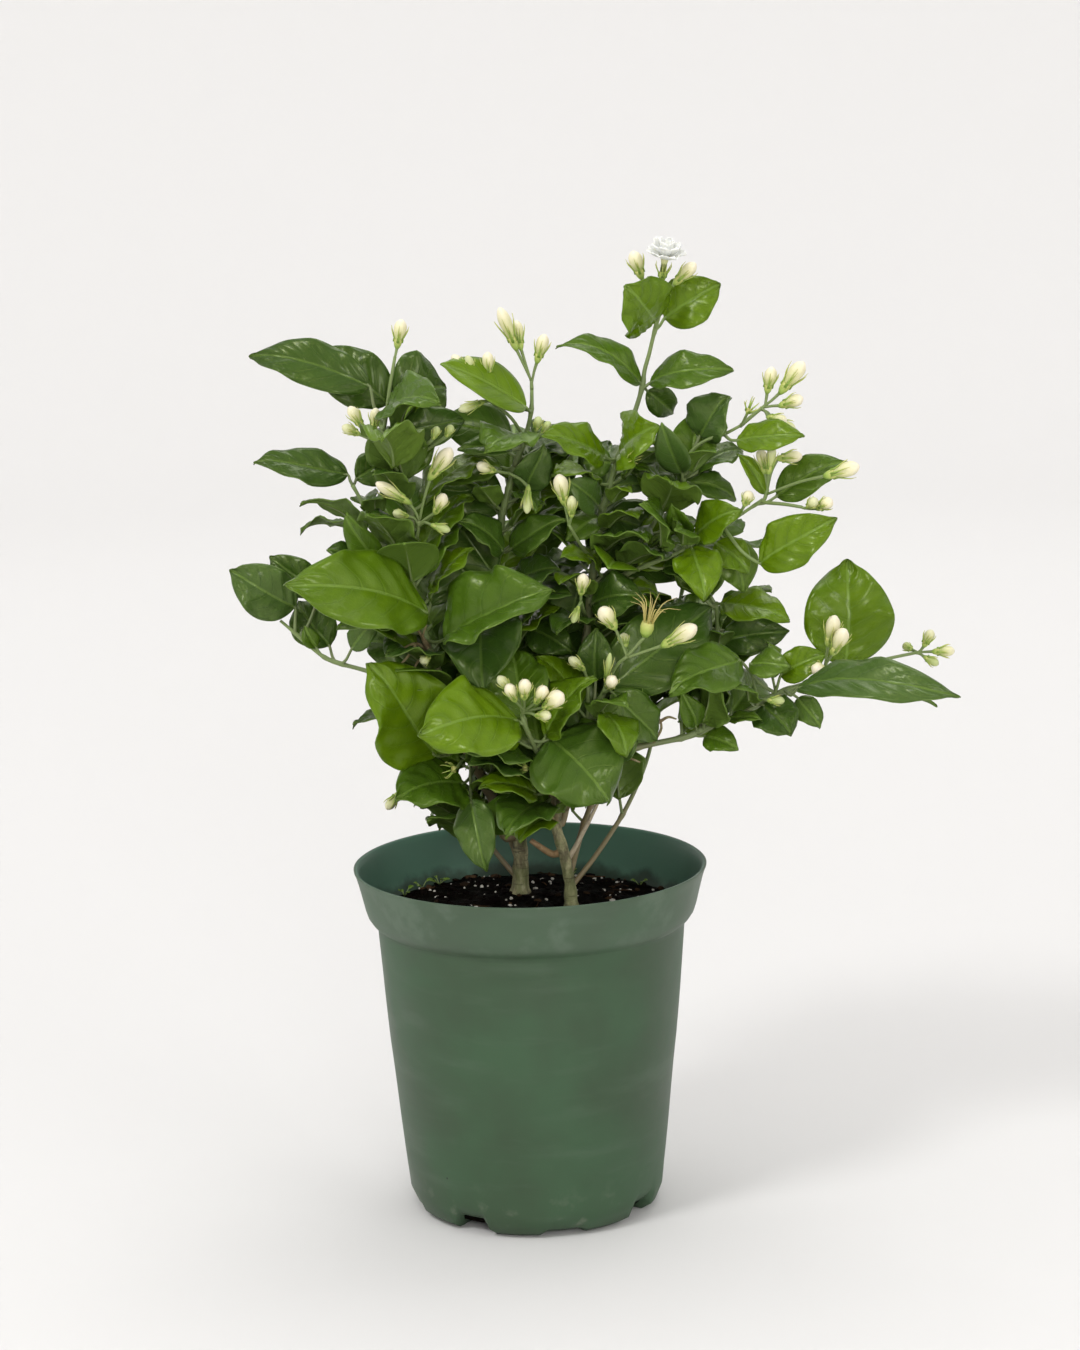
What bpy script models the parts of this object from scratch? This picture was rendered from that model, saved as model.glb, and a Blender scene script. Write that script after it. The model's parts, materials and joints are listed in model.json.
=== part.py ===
"""Arabian jasmine in a nursery pot: pot, mix, trunks, leafy stems and bud clusters.

The origin is at the middle of the pot's underside, +Z is up and the front faces -Y. Sizes in the lists are
in millimetres. A place on the plant is (x, y, z) as an eye in front of the pot sees it: x and z are read in
the upright plane through the pot's axis and y is the depth behind that plane, so seen() moves each point
along the line of sight to its depth.
"""

import itertools
import math

import bmesh
import bpy
from mathutils import Matrix, Vector
from mathutils.bvhtree import BVHTree

MM = 0.001

# Pot
POT_SIDES = 32
POT_WALL = 1.8
POT_OUTSIDE = [
    (52.0, 0.0), (57.0, 3.0), (59.4, 9.0), (67.0, 80.0), (71.3, 130.5),
    (75.5, 135.5), (77.3, 140.0), (78.8, 148.5), (79.6, 158.0), (82.3, 159.5), (82.3, 161.5),
]
POT_LIP_INNER = 78.4
POT_FLOOR = 4.2
DEEP_GROOVES = (-32.0, 58.0, 148.0, 238.0)
SHALLOW_GROOVES = (13.0, 103.0, 193.0, 283.0)
DEEP_GROOVE = {"width": 16.0, "height": 6.5, "from": 36.0}
SHALLOW_GROOVE = {"width": 18.0, "height": 2.0, "from": 44.0}
DRAIN_HOLE = 7.0

# Mix
FIT_GAP = 0.3
SOIL_EDGE = 140.0
SOIL_TOP = 146.0

# Plant
EYE = (6.5, 561.5)
EYE_DISTANCE = 1583.0
DEPTH_SCALE = 1.45
BLADE = 0.7
LEAF_FULLNESS = 1.2
BLADE_CLEARANCE = 1.5
TRUNK_SIDES = 8
PETIOLE = 0.9
FOOT_BACK = 8.0
SHORT_PETIOLE = 4.0
STALK = (0.85, 0.75)
STALK_STEP = 8
PEDICEL = 0.65
NEEDLE = 0.65
STEM_SIDES = 5
THIN_SIDES = 3
STEM_STEP = 15
BUD_SIDES = 5
CALYX_TEETH = 3
TOOTHED_BUD = 3.4
NODE_GAP = 0.35
CAP_TURNS = [2 * math.pi * turn / 8 for turn in range(8)]
NUDGES = (0.0, 0.03, -0.03, 0.06, -0.06, 0.1)
SLIVER_REACHES = (0.4, 0.3, 0.2, 0.15, 0.1, 0.07, 0.04, 0.02, 0.01)
SETTLE_STEPS = (0, 5, -5, 10, -10, 15, -15, 20, -20, 26, -26, 32, -32, 40, -40)

TRUNKS = {
    "trunk_left": {
        "path": [(-4.7, 12, 128), (-4.7, 12, 150), (-4.2, 11.5, 166), (-5, 10, 181)],
        "radius": (3.6, 2.9),
        "side": [],
    },
    "trunk_right": {
        "path": [(19, -9, 128), (18.6, -9, 150), (17, -8.5, 162), (15.3, -7.5, 170), (12.5, -6, 181), (13.5, -5, 193)],
        "radius": (2.6, 2.1),
        "side": [
            {"path": [(17, -8.5, 163), (21, -7, 170), (27, -5, 181), (33, -3, 193)], "radius": (1.1, 0.6)},
            {"path": [(15.5, -7.5, 169), (11, -7, 167), (6, -6.5, 170), (0.5, -6, 174)], "radius": (1.6, 1.0)},
        ],
    },
}

# Each stem: its parent, its path, its radius at both ends, and its leaves.
# Each leaf: blade's base, blade's tip, width, the way its face looks (turn, lift), arch and fold.
STEMS = {
    "stem_left": {
        "parent": "trunk_left", "radius": (2.2, 1.3),
        "path": [(-11.5, 8, 176), (-15.5, 6.5, 190), (-20.5, 4, 202), (-28, 0, 218), (-36, -5, 240), (-43, -10, 262),
                 (-47, -12, 275), (-51, -14, 295), (-52, -14, 313), (-50, -13, 322)],
        "leaves": [
            ((-42, -16, 215), (-70, -34, 259), 37, (10, 25), 4, 12),
            ((-44, -22, 282), (-107, -46, 297), 34, (0, 35), 6, 10),
            ((-37, -20, 270), (11, -34, 293), 38, (-5, 25), 4, 24),
            ((-30, -12, 202), (-61, -34, 196), 28, (-10, 35), 4, 12),
            ((-27, -16, 194), (-21, -28, 160), 17, (-20, 20), 4, 15),
            ((-45, -4, 258), (-34, 6, 238), 20, (0, 20), 2, 10),
            ((-56, -6, 292), (-64, -10, 318), 17, (-20, 20), 2, 14),
            ((-43, -6, 286), (-39, 2, 316), 23, (10, 15), 2, 10),
            ((-46, -4, 262), (-74, 4, 270), 20, (0, 20), 3, 12),
        ],
    },
    "stem_left_top": {
        "parent": "stem_left", "radius": (1.3, 0.9),
        "path": [(-50, -13, 323), (-52, -12, 338), (-56, -11, 352), (-62, -10, 366), (-65, -10, 374)],
        "leaves": [
            ((-68, -10, 387), (-122, -4, 403), 19, (0, 25), 4, 12),
            ((-60, 2, 379), (-90, 10, 404), 23, (-20, 30), 5, 10),
            ((-57, 3, 382), (-33, 8, 386), 30, (10, 15), 3, 8),
            ((-60, -15, 377), (-38, -30, 381), 23, (-10, 40), 4, 20),
            ((-54, -14, 366), (-25, -9, 371), 16, (0, 20), 3, 10),
            ((-58, -15, 351), (-64, -40, 366), 29, (0, 50), 3, 30),
        ],
    },
    "stem_left_middle": {
        "parent": "stem_left", "radius": (1.2, 0.8),
        "path": [(-51.3, -14, 300), (-60, -13, 308), (-66, -11, 318), (-72, -9, 332), (-77, -8, 342)],
        "leaves": [
            ((-79, -8, 347), (-121, -12, 355), 16, (0, 40), 3, 12),
            ((-75, -3, 345), (-58, 4, 353), 15, (0, 30), 2, 12),
            ((-71, -12, 321), (-100, -16, 336), 15, (150, 50), 3, 14),
            ((-66, -14, 305), (-81, -20, 328), 12, (-20, 20), 2, 15),
            ((-78, -13, 309), (-89, -16, 313), 9, (0, 30), 1, 12),
        ],
    },
    "stem_left_low": {
        "parent": "stem_left", "radius": (1.3, 0.7),
        "path": [(-38, -6, 247), (-58, -3, 250), (-72.5, -1, 255.5), (-87, 1, 260), (-94.5, 2, 264),
                 (-106.5, 4, 275), (-112, 5, 280)],
        "leaves": [
            ((-105, 5, 286), (-134, 2, 304), 22, (-20, 20), 3, 14),
            ((-94, 10, 292), (-116, 12, 310), 15, (0, 20), 2, 12),
            ((-96, 2, 267), (-101, 0, 277), 7, (0, 20), 1, 10),
            ((-90, 8, 268), (-104, 14, 289), 18, (0, 15), 3, 10),
            ((-80, -4, 266), (-67, -6, 280), 11, (0, 30), 1, 12),
        ],
    },
    "stem_centre": {
        "parent": "trunk_left", "radius": (2.0, 1.3),
        "path": [(-5, 10.5, 184), (-6, 14, 212), (-11, 14, 255), (-13, 9, 290), (-10, 4, 322),
                 (-7, 2, 335), (-3, 0, 349)],
        "leaves": [
            ((-18, 0, 284), (-20, -26, 247), 33, (-5, 25), 5, 14),
            ((-9, -2, 310), (-29, -12, 325), 16, (0, 45), 3, 14),
            ((-6, -2, 311), (19, -10, 325), 15, (0, 40), 3, 14),
            ((-9, -4, 349), (-38, -14, 343), 15, (0, 45), 4, 12),
            ((1, 0, 337), (11, -6, 358), 15, (20, 20), 2, 12),
            ((-12, -1, 332), (-19, -16, 341), 12, (-20, 40), 1, 14),
            ((2, 10, 274), (21, 2, 263), 17, (0, 30), 3, 12),
            ((-4, 12, 246), (-18, 2, 214), 22, (-10, 25), 3, 12),
            ((-14, 2, 300), (-38, 8, 334), 20, (0, 20), 3, 12),
            ((-11, 4, 328), (-40, 10, 352), 22, (0, 30), 3, 12),
            ((-4, 2, 297), (16, -6, 302), 16, (0, 40), 2, 14),
            ((-6, 10, 238), (10, 0, 264), 20, (0, 15), 3, 12),
        ],
    },
    "stem_centre_top": {
        "parent": "stem_centre", "radius": (1.3, 0.8),
        "path": [(-2.7, 0, 350), (2, -2, 362), (5, -3, 374), (5.5, -3, 384)],
        "leaves": [
            ((3, -8, 376), (-35, -14, 397), 29, (0, 25), 2, 14),
            ((-4, -2, 362), (-36, -4, 370), 22, (0, 30), 2, 12),
            ((-4, -4, 357), (-28, -10, 358), 11, (0, 50), 2, 12),
        ],
    },
    "stem_tall": {
        "parent": "trunk_right", "radius": (1.9, 1.3),
        "path": [(13.8, -5, 196), (18, 2, 215), (24, 7, 240), (28, 8, 268), (31.8, 6, 300), (34.2, 5, 314),
                 (36.5, 4, 328), (38.3, 3.5, 333), (43, 3, 349)],
        "leaves": [
            ((27, 0, 299), (19, -14, 271), 21, (0, 15), 3, 10),
            ((31, 10, 296), (50, 16, 272), 24, (0, 20), 3, 12),
            ((26, 10, 262), (12, 4, 236), 20, (0, 20), 3, 12),
            ((31, 8.5, 320), (12, 10, 330), 16, (0, 25), 2, 12),
            ((38, 10, 324), (67, 14, 312), 22, (0, 30), 4, 12),
            ((36, 8, 305), (77, 10, 298), 17, (0, 30), 4, 12),
            ((35, 0, 325), (20, -8, 315), 13, (-10, 30), 2, 12),
            ((35, -2, 330), (22, -12, 342), 14, (-10, 30), 2, 14),
            ((41, 6, 338), (58, 10, 339), 9, (0, 40), 2, 12),
            ((30, 0, 306), (18, -8, 308), 10, (0, 40), 1, 12),
            ((31, 6, 285), (54, 2, 288), 20, (0, 30), 3, 12),
        ],
    },
    "stem_tall_top": {
        "parent": "stem_tall", "radius": (1.3, 0.8),
        "path": [(43.4, 3, 350.5), (49.6, 2, 366), (55, 2, 382), (56.7, 2, 391.5), (58.9, 2, 399),
                 (60.3, 2, 404.6), (62.2, 2, 411.5), (64, 1, 417)],
        "leaves": [
            ((55, 1, 386), (18.5, -6, 405), 15, (10, 50), 7, 14),
            ((59, 1, 386), (96, -6, 392), 17, (-10, 40), 6, 14),
            ((62, 0, 414), (50, -14, 429), 22, (-10, 30), 3, 20),
            ((66, 0, 415), (91, -8, 430), 21, (10, 25), 3, 14),
            ((45, -2, 353), (60, -18, 366), 25, (0, 35), 3, 12),
            ((38, -2, 353), (11, -18, 364), 19, (0, 40), 3, 12),
            ((47, 8, 350), (64, 12, 350), 14, (0, 20), 2, 10),
            ((41, 6, 350), (28, 8, 350), 12, (0, 20), 2, 10),
            ((58, 6, 382), (70, 12, 371), 12, (0, 10), 2, 10),
        ],
    },
    "stem_right_upper": {
        "parent": "stem_tall", "radius": (1.2, 0.7),
        "path": [(32, 6, 294), (42, 5, 302), (51.3, 4, 310.6), (58.6, 2, 319.5), (65.5, 0, 329.5),
                 (72.2, -2, 338), (75, -3, 346), (77.5, -4, 354), (84, -5, 359), (93, -7, 362), (100, -9, 365.5)],
        "leaves": [
            ((73, -6, 344), (64, -18, 367), 13, (-20, 30), 2, 16),
            ((78, 0, 348), (81, 5, 372), 18, (0, 15), 2, 12),
            ((81, 1, 361), (94, -1, 379), 21, (-20, 25), 3, 20),
            ((98, -13, 359), (128, -22, 361), 15, (0, 40), 2, 12),
            ((71, 0, 338), (57, 4, 336), 13, (0, 40), 2, 12),
            ((76, 0, 340), (98, 1, 332), 12, (0, 40), 3, 12),
        ],
    },
    "stem_right_middle": {
        "parent": "stem_tall", "radius": (1.2, 0.7),
        "path": [(31, 7, 286), (37, 5, 292), (43.9, 2, 297), (58.6, -4, 303), (71.5, -8, 308), (80, -10, 313.5),
                 (90, -12, 318), (99.3, -14, 324.5), (109.5, -16, 331)],
        "leaves": [
            ((116, -18, 333), (148, -26, 349), 16, (-20, 25), 3, 14),
            ((111, -15, 334), (99, -20, 353), 8, (20, 20), 1, 14),
            ((108, -24, 302), (142, -34, 322), 21, (0, 30), 4, 12),
            ((79, -9, 316), (98, -22, 327), 17, (10, 30), 2, 12),
            ((77, -12, 310), (83, -28, 287), 19, (0, 30), 3, 12),
            ((88, -10, 312), (103, -16, 298), 14, (0, 30), 2, 12),
            ((76, -8, 316), (68, -16, 329), 10, (-30, 30), 1, 14),
            ((93, -6, 313), (101, -10, 289), 17, (0, 20), 2, 12),
        ],
    },
    "stem_front": {
        "parent": "trunk_right", "radius": (1.3, 0.9),
        "path": [(12.6, -6.5, 183), (10, -16, 198), (5, -24, 214), (0, -30, 226), (-2, -32, 232)],
        "leaves": [
            ((-4, -32, 231), (-49, -50, 226), 28, (0, 50), 5, 12),
            ((11, -26, 222), (37, -38, 193), 38, (10, 30), 4, 8),
            ((4, -22, 196), (-22, -34, 201), 17, (0, 55), 3, 14),
            ((3, -16, 184), (-24, -22, 184), 19, (0, 40), 3, 12),
            ((8, -14, 190), (3, -22, 204), 9, (0, 30), 1, 12),
        ],
    },
    "stem_buds": {
        "parent": "trunk_right", "radius": (1.5, 0.9),
        "path": [(17.5, -8.5, 189), (20, -12, 204), (25.2, -15, 221), (30.8, -18, 236), (34.4, -20, 241.5),
                 (37.9, -21, 248)],
        "leaves": [
            ((38, -12, 246), (86, 4, 283), 31, (0, 20), 5, 10),
            ((32, -13, 249), (33, -14, 273), 14, (0, 15), 2, 10),
            ((40, -14, 243), (61, -6, 220), 18, (0, 30), 3, 12),
            ((25, -8, 226), (20, -4, 256), 18, (0, 15), 3, 12),
            ((21, -8, 214), (8, -4, 236), 17, (0, 20), 3, 12),
        ],
    },
    "stem_right_low": {
        "parent": "trunk_right", "radius": (1.6, 1.2),
        "path": [(15.5, -4, 182), (21, -2.5, 200), (33.8, -4, 212.5), (52.8, -5, 217.5), (73, -4, 221.5),
                 (81.3, -4, 224.8), (99.8, -6, 232)],
        "leaves": [
            ((34, -11, 214), (50, -15, 230), 18, (0, 20), 2, 10),
            ((78, -8, 226), (72, -14, 242), 11, (0, 30), 2, 22),
            ((83, -1, 228), (88, 6, 252), 18, (0, 20), 2, 12),
            ((82, -6, 222), (97, -14, 216), 12, (0, 35), 2, 12),
            ((93, -9, 230), (108, -18, 230), 7, (0, 50), 1, 12),
        ],
    },
    "stem_right_tip": {
        "parent": "stem_right_low", "radius": (1.2, 0.8),
        "path": [(100.5, -6, 232.4), (109, -8, 237.5), (119, -9, 242.5), (134, -8, 247), (147, -7, 251)],
        "leaves": [
            ((147, -4, 254), (148, 4, 303), 35, (0, 12), 3, 10),
            ((125, -14, 243.5), (198, -30, 239.5), 20, (0, 45), 9, 12),
            ((124, -2, 243), (189.5, -8, 236), 12, (0, 50), 7, 12),
            ((109, -13, 236), (122, -24, 222), 19, (0, 40), 2, 12),
            ((125, -8, 239), (136, -12, 225), 11, (0, 30), 1, 10),
            ((117, -12, 249.5), (138, -16, 259), 14, (0, 30), 2, 12),
            ((103, -9, 255), (121, -14, 254), 14, (0, 40), 2, 12),
            ((99, -16, 257), (66, -34, 244), 24, (0, 45), 4, 10),
        ],
    },
    "stem_right_rear": {
        "parent": "stem_right_low", "radius": (1.2, 0.8),
        "path": [(80, -3, 224.5), (84, 4, 240), (88, 8, 262), (88, 6, 284)],
        "leaves": [
            ((90, 3, 284), (121, -10, 277), 18, (0, 50), 3, 12),
            ((90, 5, 266), (121, 1, 270), 16, (0, 15), 3, 12),
            ((84, 10, 258), (60, 24, 262), 22, (170, 45), 4, 12),
            ((90, 12, 272), (112, 34, 292), 24, (160, 50), 4, 12),
        ],
    },
}

# Stems that the photo hides: opposite pairs of leaves stand at even steps along them.
REAR_STEMS = {
    "stem_rear_left": {
        "parent": "trunk_left", "radius": (1.6, 0.8), "pairs": 3, "leaf": 42,
        "path": [(-5.5, 14, 165), (-16, 26, 196), (-34, 40, 234), (-50, 50, 276), (-60, 54, 318)],
    },
    "stem_rear_centre": {
        "parent": "trunk_left", "radius": (1.6, 0.8), "pairs": 3, "leaf": 44,
        "path": [(-4.6, 14, 172), (-3, 32, 212), (2, 46, 256), (6, 54, 300), (6, 56, 340)],
    },
    "stem_rear_right": {
        "parent": "trunk_right", "radius": (1.5, 0.8), "pairs": 3, "leaf": 42,
        "path": [(18.5, -6, 157), (25, 8, 180), (34, 22, 202), (50, 36, 234), (66, 48, 268), (76, 52, 304)],
    },
    "stem_rear_low_left": {
        "parent": "trunk_left", "radius": (1.3, 0.8), "pairs": 2, "leaf": 32,
        "path": [(-6, 13, 156), (-20, 15, 174), (-34, 20, 192), (-46, 26, 214), (-52, 30, 232)],
    },
    "stem_rear_low_right": {
        "parent": "trunk_right", "radius": (1.3, 0.8), "pairs": 2, "leaf": 34,
        "path": [(19, -8.5, 151), (32, 0, 168), (46, 18, 190), (56, 34, 214), (60, 42, 238)],
    },
}

# Each cluster: its stalk, and its buds as (calyx base, tip, radius).
CLUSTERS = {
    "buds_front": {
        "parent": "stem_front", "stalk": [(-2.2, -32.5, 233.5), (-1, -35, 236)],
        "buds": [
            ((-5, -38, 240), (-8.5, -41, 248), 2.9), ((-1, -39, 241), (-0.4, -43, 250), 3.1),
            ((4, -38, 239), (9, -42, 246.5), 3.0), ((8, -38, 236.5), (16.5, -44, 243), 4.0),
            ((4, -38, 233), (11, -42, 233), 2.4), ((-6, -36, 244), (-13, -36, 252), 2.4),
        ],
    },
    "buds_middle": {
        "parent": "stem_buds", "stalk": [(38.5, -21.5, 250), (42, -24, 256), (46.8, -26, 260)],
        "buds": [
            ((41.5, -27, 273), (35, -30, 283), 3.9), ((46, -22, 264), (45, -20, 271), 2.4),
            ((63, -30, 264.5), (79, -34, 273.5), 3.9),
        ],
        "spent": [((55, -28, 269), (60, -30, 289), 3.4)],
    },
    "bud_low_middle": {
        "parent": "stem_buds", "stalk": [(36, -22.5, 243), (38, -25, 244.5)],
        "buds": [((38.2, -26, 245), (40, -33, 250), 2.9), ((36.5, -24, 247), (39, -27, 262), 1.5)],
    },
    "buds_centre_top": {
        "parent": "stem_centre_top", "stalk": [(5.5, -3, 385), (5.4, -3, 388)],
        "buds": [
            ((-1, -4, 402), (-8.5, -8, 421.5), 3.1), ((1, -3, 402), (-1, -1, 415.5), 2.7),
            ((8, -4, 396), (12, -5, 409), 3.0),
        ],
    },
    "buds_left_crown": {
        "parent": "stem_left_top", "stalk": [(-57.4, -13.5, 353.5), (-62, -20, 358), (-67, -23, 362)],
        "buds": [
            ((-71.5, -23, 368), (-77.5, -24, 378), 2.7), ((-66.5, -24, 367), (-65.3, -26, 377), 2.6),
            ((-73, -22, 365), (-81, -24, 369), 2.4),
        ],
    },
    "bud_left_high": {
        "parent": "stem_left_top", "stalk": [(-61.5, -13, 369), (-59, -13.5, 385), (-56, -13, 400)],
        "buds": [((-55, -12, 404), (-52.5, -13, 417), 3.1)],
    },
    "buds_left_middle": {
        "parent": "stem_left", "stalk": [(-48.5, -18, 317), (-47, -20, 325)],
        "buds": [
            ((-51, -21, 333), (-66.5, -24, 343), 2.8), ((-42, -24, 344), (-31.5, -27, 358), 3.7),
            ((-40, -22, 328), (-35, -25, 337), 2.9), ((-52, -21, 327), (-59, -24, 329), 2.2),
            ((-42, -22, 323), (-33, -24, 320), 2.0),
        ],
    },
    "buds_centre": {
        "parent": "stem_centre", "stalk": [(-3.4, -1.6, 344), (-6, -10, 346)],
        "buds": [((3, -14, 340), (2, -18, 327), 2.2), ((-12, -14, 347), (-20, -20, 350), 2.6)],
    },
    "buds_centre_left": {
        "parent": "stem_centre_top", "stalk": [(1.6, -3.2, 362), (-4, -10, 371), (-12, -11, 378)],
        "buds": [
            ((-24, -12, 390), (-30, -13, 400.5), 2.7), ((-21, -12, 390), (-23.5, -13, 400), 2.3),
            ((-14, -11, 390), (-14.2, -12, 401.5), 2.8), ((-16, -12, 379), (-28, -16, 375), 2.3),
        ],
    },
    "buds_young": {
        "parent": "stem_centre_top", "stalk": [(2.6, -3, 363.5), (6, -8, 363)],
        "buds": [((7, -9, 365), (8.5, -11, 371.5), 2.1), ((9.5, -9, 364), (13.5, -11, 369), 1.9)],
    },
    "buds_pair": {
        "parent": "stem_tall", "stalk": [(32.2, 5, 305), (27, -5, 311), (21, -14, 322)],
        "buds": [
            ((19.5, -15, 331), (16.8, -18, 345), 3.6), ((22.3, -15, 325), (22.6, -17, 335), 2.4),
        ],
    },
    "buds_inner": {
        "parent": "stem_tall", "stalk": [(29.4, 7.4, 276), (27, -6, 282), (26, -16, 286)],
        "buds": [((26, -18, 289), (27.5, -20, 299), 2.9), ((25, -17, 284), (22, -21, 276), 1.8)],
    },
    "bud_low": {
        "parent": "stem_buds", "stalk": [(28, -16, 229), (28.5, -20, 246)],
        "buds": [((27, -21, 254), (20, -24, 260), 2.4)],
    },
    "buds_crown": {
        "parent": "stem_tall_top", "stalk": [(64, 1, 418.5), (64.5, 0.5, 423)],
        "buds": [((56, 0, 433), (52, -2, 445.5), 3.4), ((70.5, 0, 430), (80.5, -2, 439.5), 3.1)],
        "flower": ((65, 0, 431.5), (66.5, -2, 441.5), 8.5),
    },
    "buds_right_high": {
        "parent": "stem_right_upper", "stalk": [(100.8, -9, 366), (105.5, -10, 370), (111.3, -11, 374.5)],
        "buds": [
            ((112, -11, 380), (114.5, -12, 392), 3.0), ((118, -12, 380), (129, -14, 394), 3.7),
            ((117.5, -12, 374), (128.5, -14, 377.5), 3.0), ((112, -14, 369), (121, -18, 367), 2.6),
            ((114, -10, 368), (125, -9, 363), 2.4),
        ],
    },
    "buds_right_middle": {
        "parent": "stem_right_middle", "stalk": [(110.6, -16.3, 331.8), (112, -16.5, 336)],
        "buds": [
            ((111, -14, 343), (108.5, -13, 355), 2.7), ((112.5, -18, 343), (114.3, -20, 356), 2.3),
            ((116, -14, 350), (128, -14, 351), 2.8), ((138, -31, 341.5), (154, -34, 346), 3.6),
        ],
    },
    "buds_right_small": {
        "parent": "stem_right_middle", "stalk": [(111, -18, 330), (119.5, -24, 329), (127.5, -28, 327.5)],
        "buds": [((130, -29, 327), (134, -33, 331), 2.4), ((134, -29, 326.5), (141.5, -31, 330.5), 2.9)],
    },
    "bud_right_inner": {
        "parent": "stem_right_middle", "stalk": [(99, -16.5, 325.6), (99.4, -18, 326)],
        "buds": [((101.2, -19, 328.6), (104, -20, 335.5), 2.7)],
    },
    "buds_right_front": {
        "parent": "stem_right_tip", "stalk": [(135, -10, 248.6), (137.8, -16, 254)],
        "buds": [
            ((139, -19, 263), (142.5, -24, 277), 3.4), ((141, -21, 259), (147, -28, 270.5), 3.6),
            ((136.5, -19, 252.5), (133.3, -28, 252), 3.2),
        ],
    },
    "bud_right_low": {
        "parent": "stem_right_tip", "stalk": [(108.4, -10, 238.4), (110, -14, 238.2)],
        "buds": [((111, -15, 238), (119, -18, 237.6), 2.0)],
    },
    "buds_far_right": {
        "parent": "stem_right_tip", "stalk": [(148.4, -6, 251.6), (165, 0, 256), (180.5, 3, 259)],
        "buds": [
            ((183, 3, 261.5), (187, 3, 269.5), 2.5), ((187, 2, 259.2), (197.5, 1, 259.3), 2.6),
            ((183, 2, 257), (190, 0, 253), 2.1), ((178, 5, 260), (173.5, 7, 263), 2.1),
        ],
    },
}

BUD_PROFILE = [(0.0, 0.3), (0.45, 0.88), (0.82, 0.92), (1.0, 0.35)]
FLOWER_SIDES = 8
FLOWER_HEART = [(-6.5, 2.3), (0.0, 3.4), (2.5, 3.6), (5.5, 1.6)]
FLOWER_RINGS = [
    {"petals": 7, "turn": 0.0, "height": 0.6, "root": 2.7, "lift": 0.2, "share": 1.0, "width": 5.0},
    {"petals": 5, "turn": 0.5, "height": 2.6, "root": 2.4, "lift": 1.0, "share": 0.8, "width": 4.6},
]
SPENT_THREADS = 7

COLOURS = {
    "pot": ((0.070, 0.127, 0.076), 0.42),
    "soil": ((0.012, 0.008, 0.006), 0.95),
    "trunk": ((0.140, 0.085, 0.045), 0.8),
    "stem": ((0.085, 0.160, 0.020), 0.45),
    "buds": ((0.640, 0.600, 0.330), 0.55),
}


def seen(point, depth_scale=DEPTH_SCALE):
    """The place, in metres, of a point given as the eye sees it, at its depth behind the pot's axis."""
    x, y, z = point
    depth = y * depth_scale
    grow = (EYE_DISTANCE + depth) / EYE_DISTANCE
    return Vector((EYE[0] + (x - EYE[0]) * grow, depth, EYE[1] + (z - EYE[1]) * grow)) * MM


def smooth(points, steps):
    """A curve through the points, with as many steps between each two."""
    if len(points) < 3:
        return [p.copy() for p in points]
    line = []
    ends = [points[0] * 2 - points[1]] + points + [points[-1] * 2 - points[-2]]
    for a, b, c, d in zip(ends, ends[1:], ends[2:], ends[3:]):
        for step in range(steps):
            t = step / steps
            line.append(
                0.5 * (2 * b + (c - a) * t + (2 * a - 5 * b + 4 * c - d) * t**2 + (3 * b - a - 3 * c + d) * t**3)
            )
    line.append(points[-1].copy())
    return line


def ring_frames(line):
    """One turning-free frame for each point of a line, its z axis along the line."""
    frames = []
    side = Vector((0.31, 0.93, 0.2))
    for index, point in enumerate(line):
        ahead = line[min(index + 1, len(line) - 1)] - line[max(index - 1, 0)]
        ahead.normalize()
        side = (side - ahead * side.dot(ahead)).normalized()
        up = ahead.cross(side)
        frame = Matrix((side, up, ahead)).transposed().to_4x4()
        frame.translation = point
        frames.append(frame)
    return frames


def add_tube(bm, line, radii, sides):
    """A closed tube along the line, with a radius in metres at each of its points."""
    places = [
        frame @ Matrix.Diagonal((radius, radius, 1, 1)) for frame, radius in zip(ring_frames(line), radii)
    ]
    first = bmesh.ops.create_circle(bm, cap_ends=True, segments=sides, radius=1, matrix=places[0])["verts"]
    ring = list({edge for vert in first for edge in vert.link_edges})
    made = list(first)
    for before, after in zip(places, places[1:]):
        grown = bmesh.ops.extrude_edge_only(bm, edges=ring)["geom"]
        verts = [item for item in grown if isinstance(item, bmesh.types.BMVert)]
        bmesh.ops.transform(bm, matrix=after @ before.inverted(), verts=verts)
        known = set(verts)
        ring = [item for item in grown if isinstance(item, bmesh.types.BMEdge) and set(item.verts) <= known]
        made += verts
    bmesh.ops.edgeloop_fill(bm, edges=ring)
    faces = list({face for vert in made for face in vert.link_faces})
    bmesh.ops.recalc_face_normals(bm, faces=faces)


def taper(count, radii):
    first, last = radii
    return [(first + (last - first) * step / (count - 1)) * MM for step in range(count)]


def leaf_shape(leaf, base_shift=0.0, tip_shift=0.0):
    """The blade's base, tip and facing direction in metres, with its ends moved in depth."""
    (bx, by, bz), (tx, ty, tz), width, (turn, lift), arch, fold = leaf
    base = seen((bx, by + base_shift / DEPTH_SCALE, bz))
    tip = seen((tx, ty + tip_shift / DEPTH_SCALE, tz))
    turn = math.radians(turn)
    lift = math.radians(lift)
    face = Vector((math.sin(turn) * math.cos(lift), -math.cos(turn) * math.cos(lift), math.sin(lift)))
    return {"base": base, "tip": tip, "face": face, "width": width, "arch": arch, "fold": fold}


def half_width(u):
    """Half the blade's width at u along it, as a share of its full width: an egg shape with a pointed tip."""
    return 0.5 * LEAF_FULLNESS * math.sin(math.pi * u**0.82) ** 0.62 * (1 - 0.18 * u**5)


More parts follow.
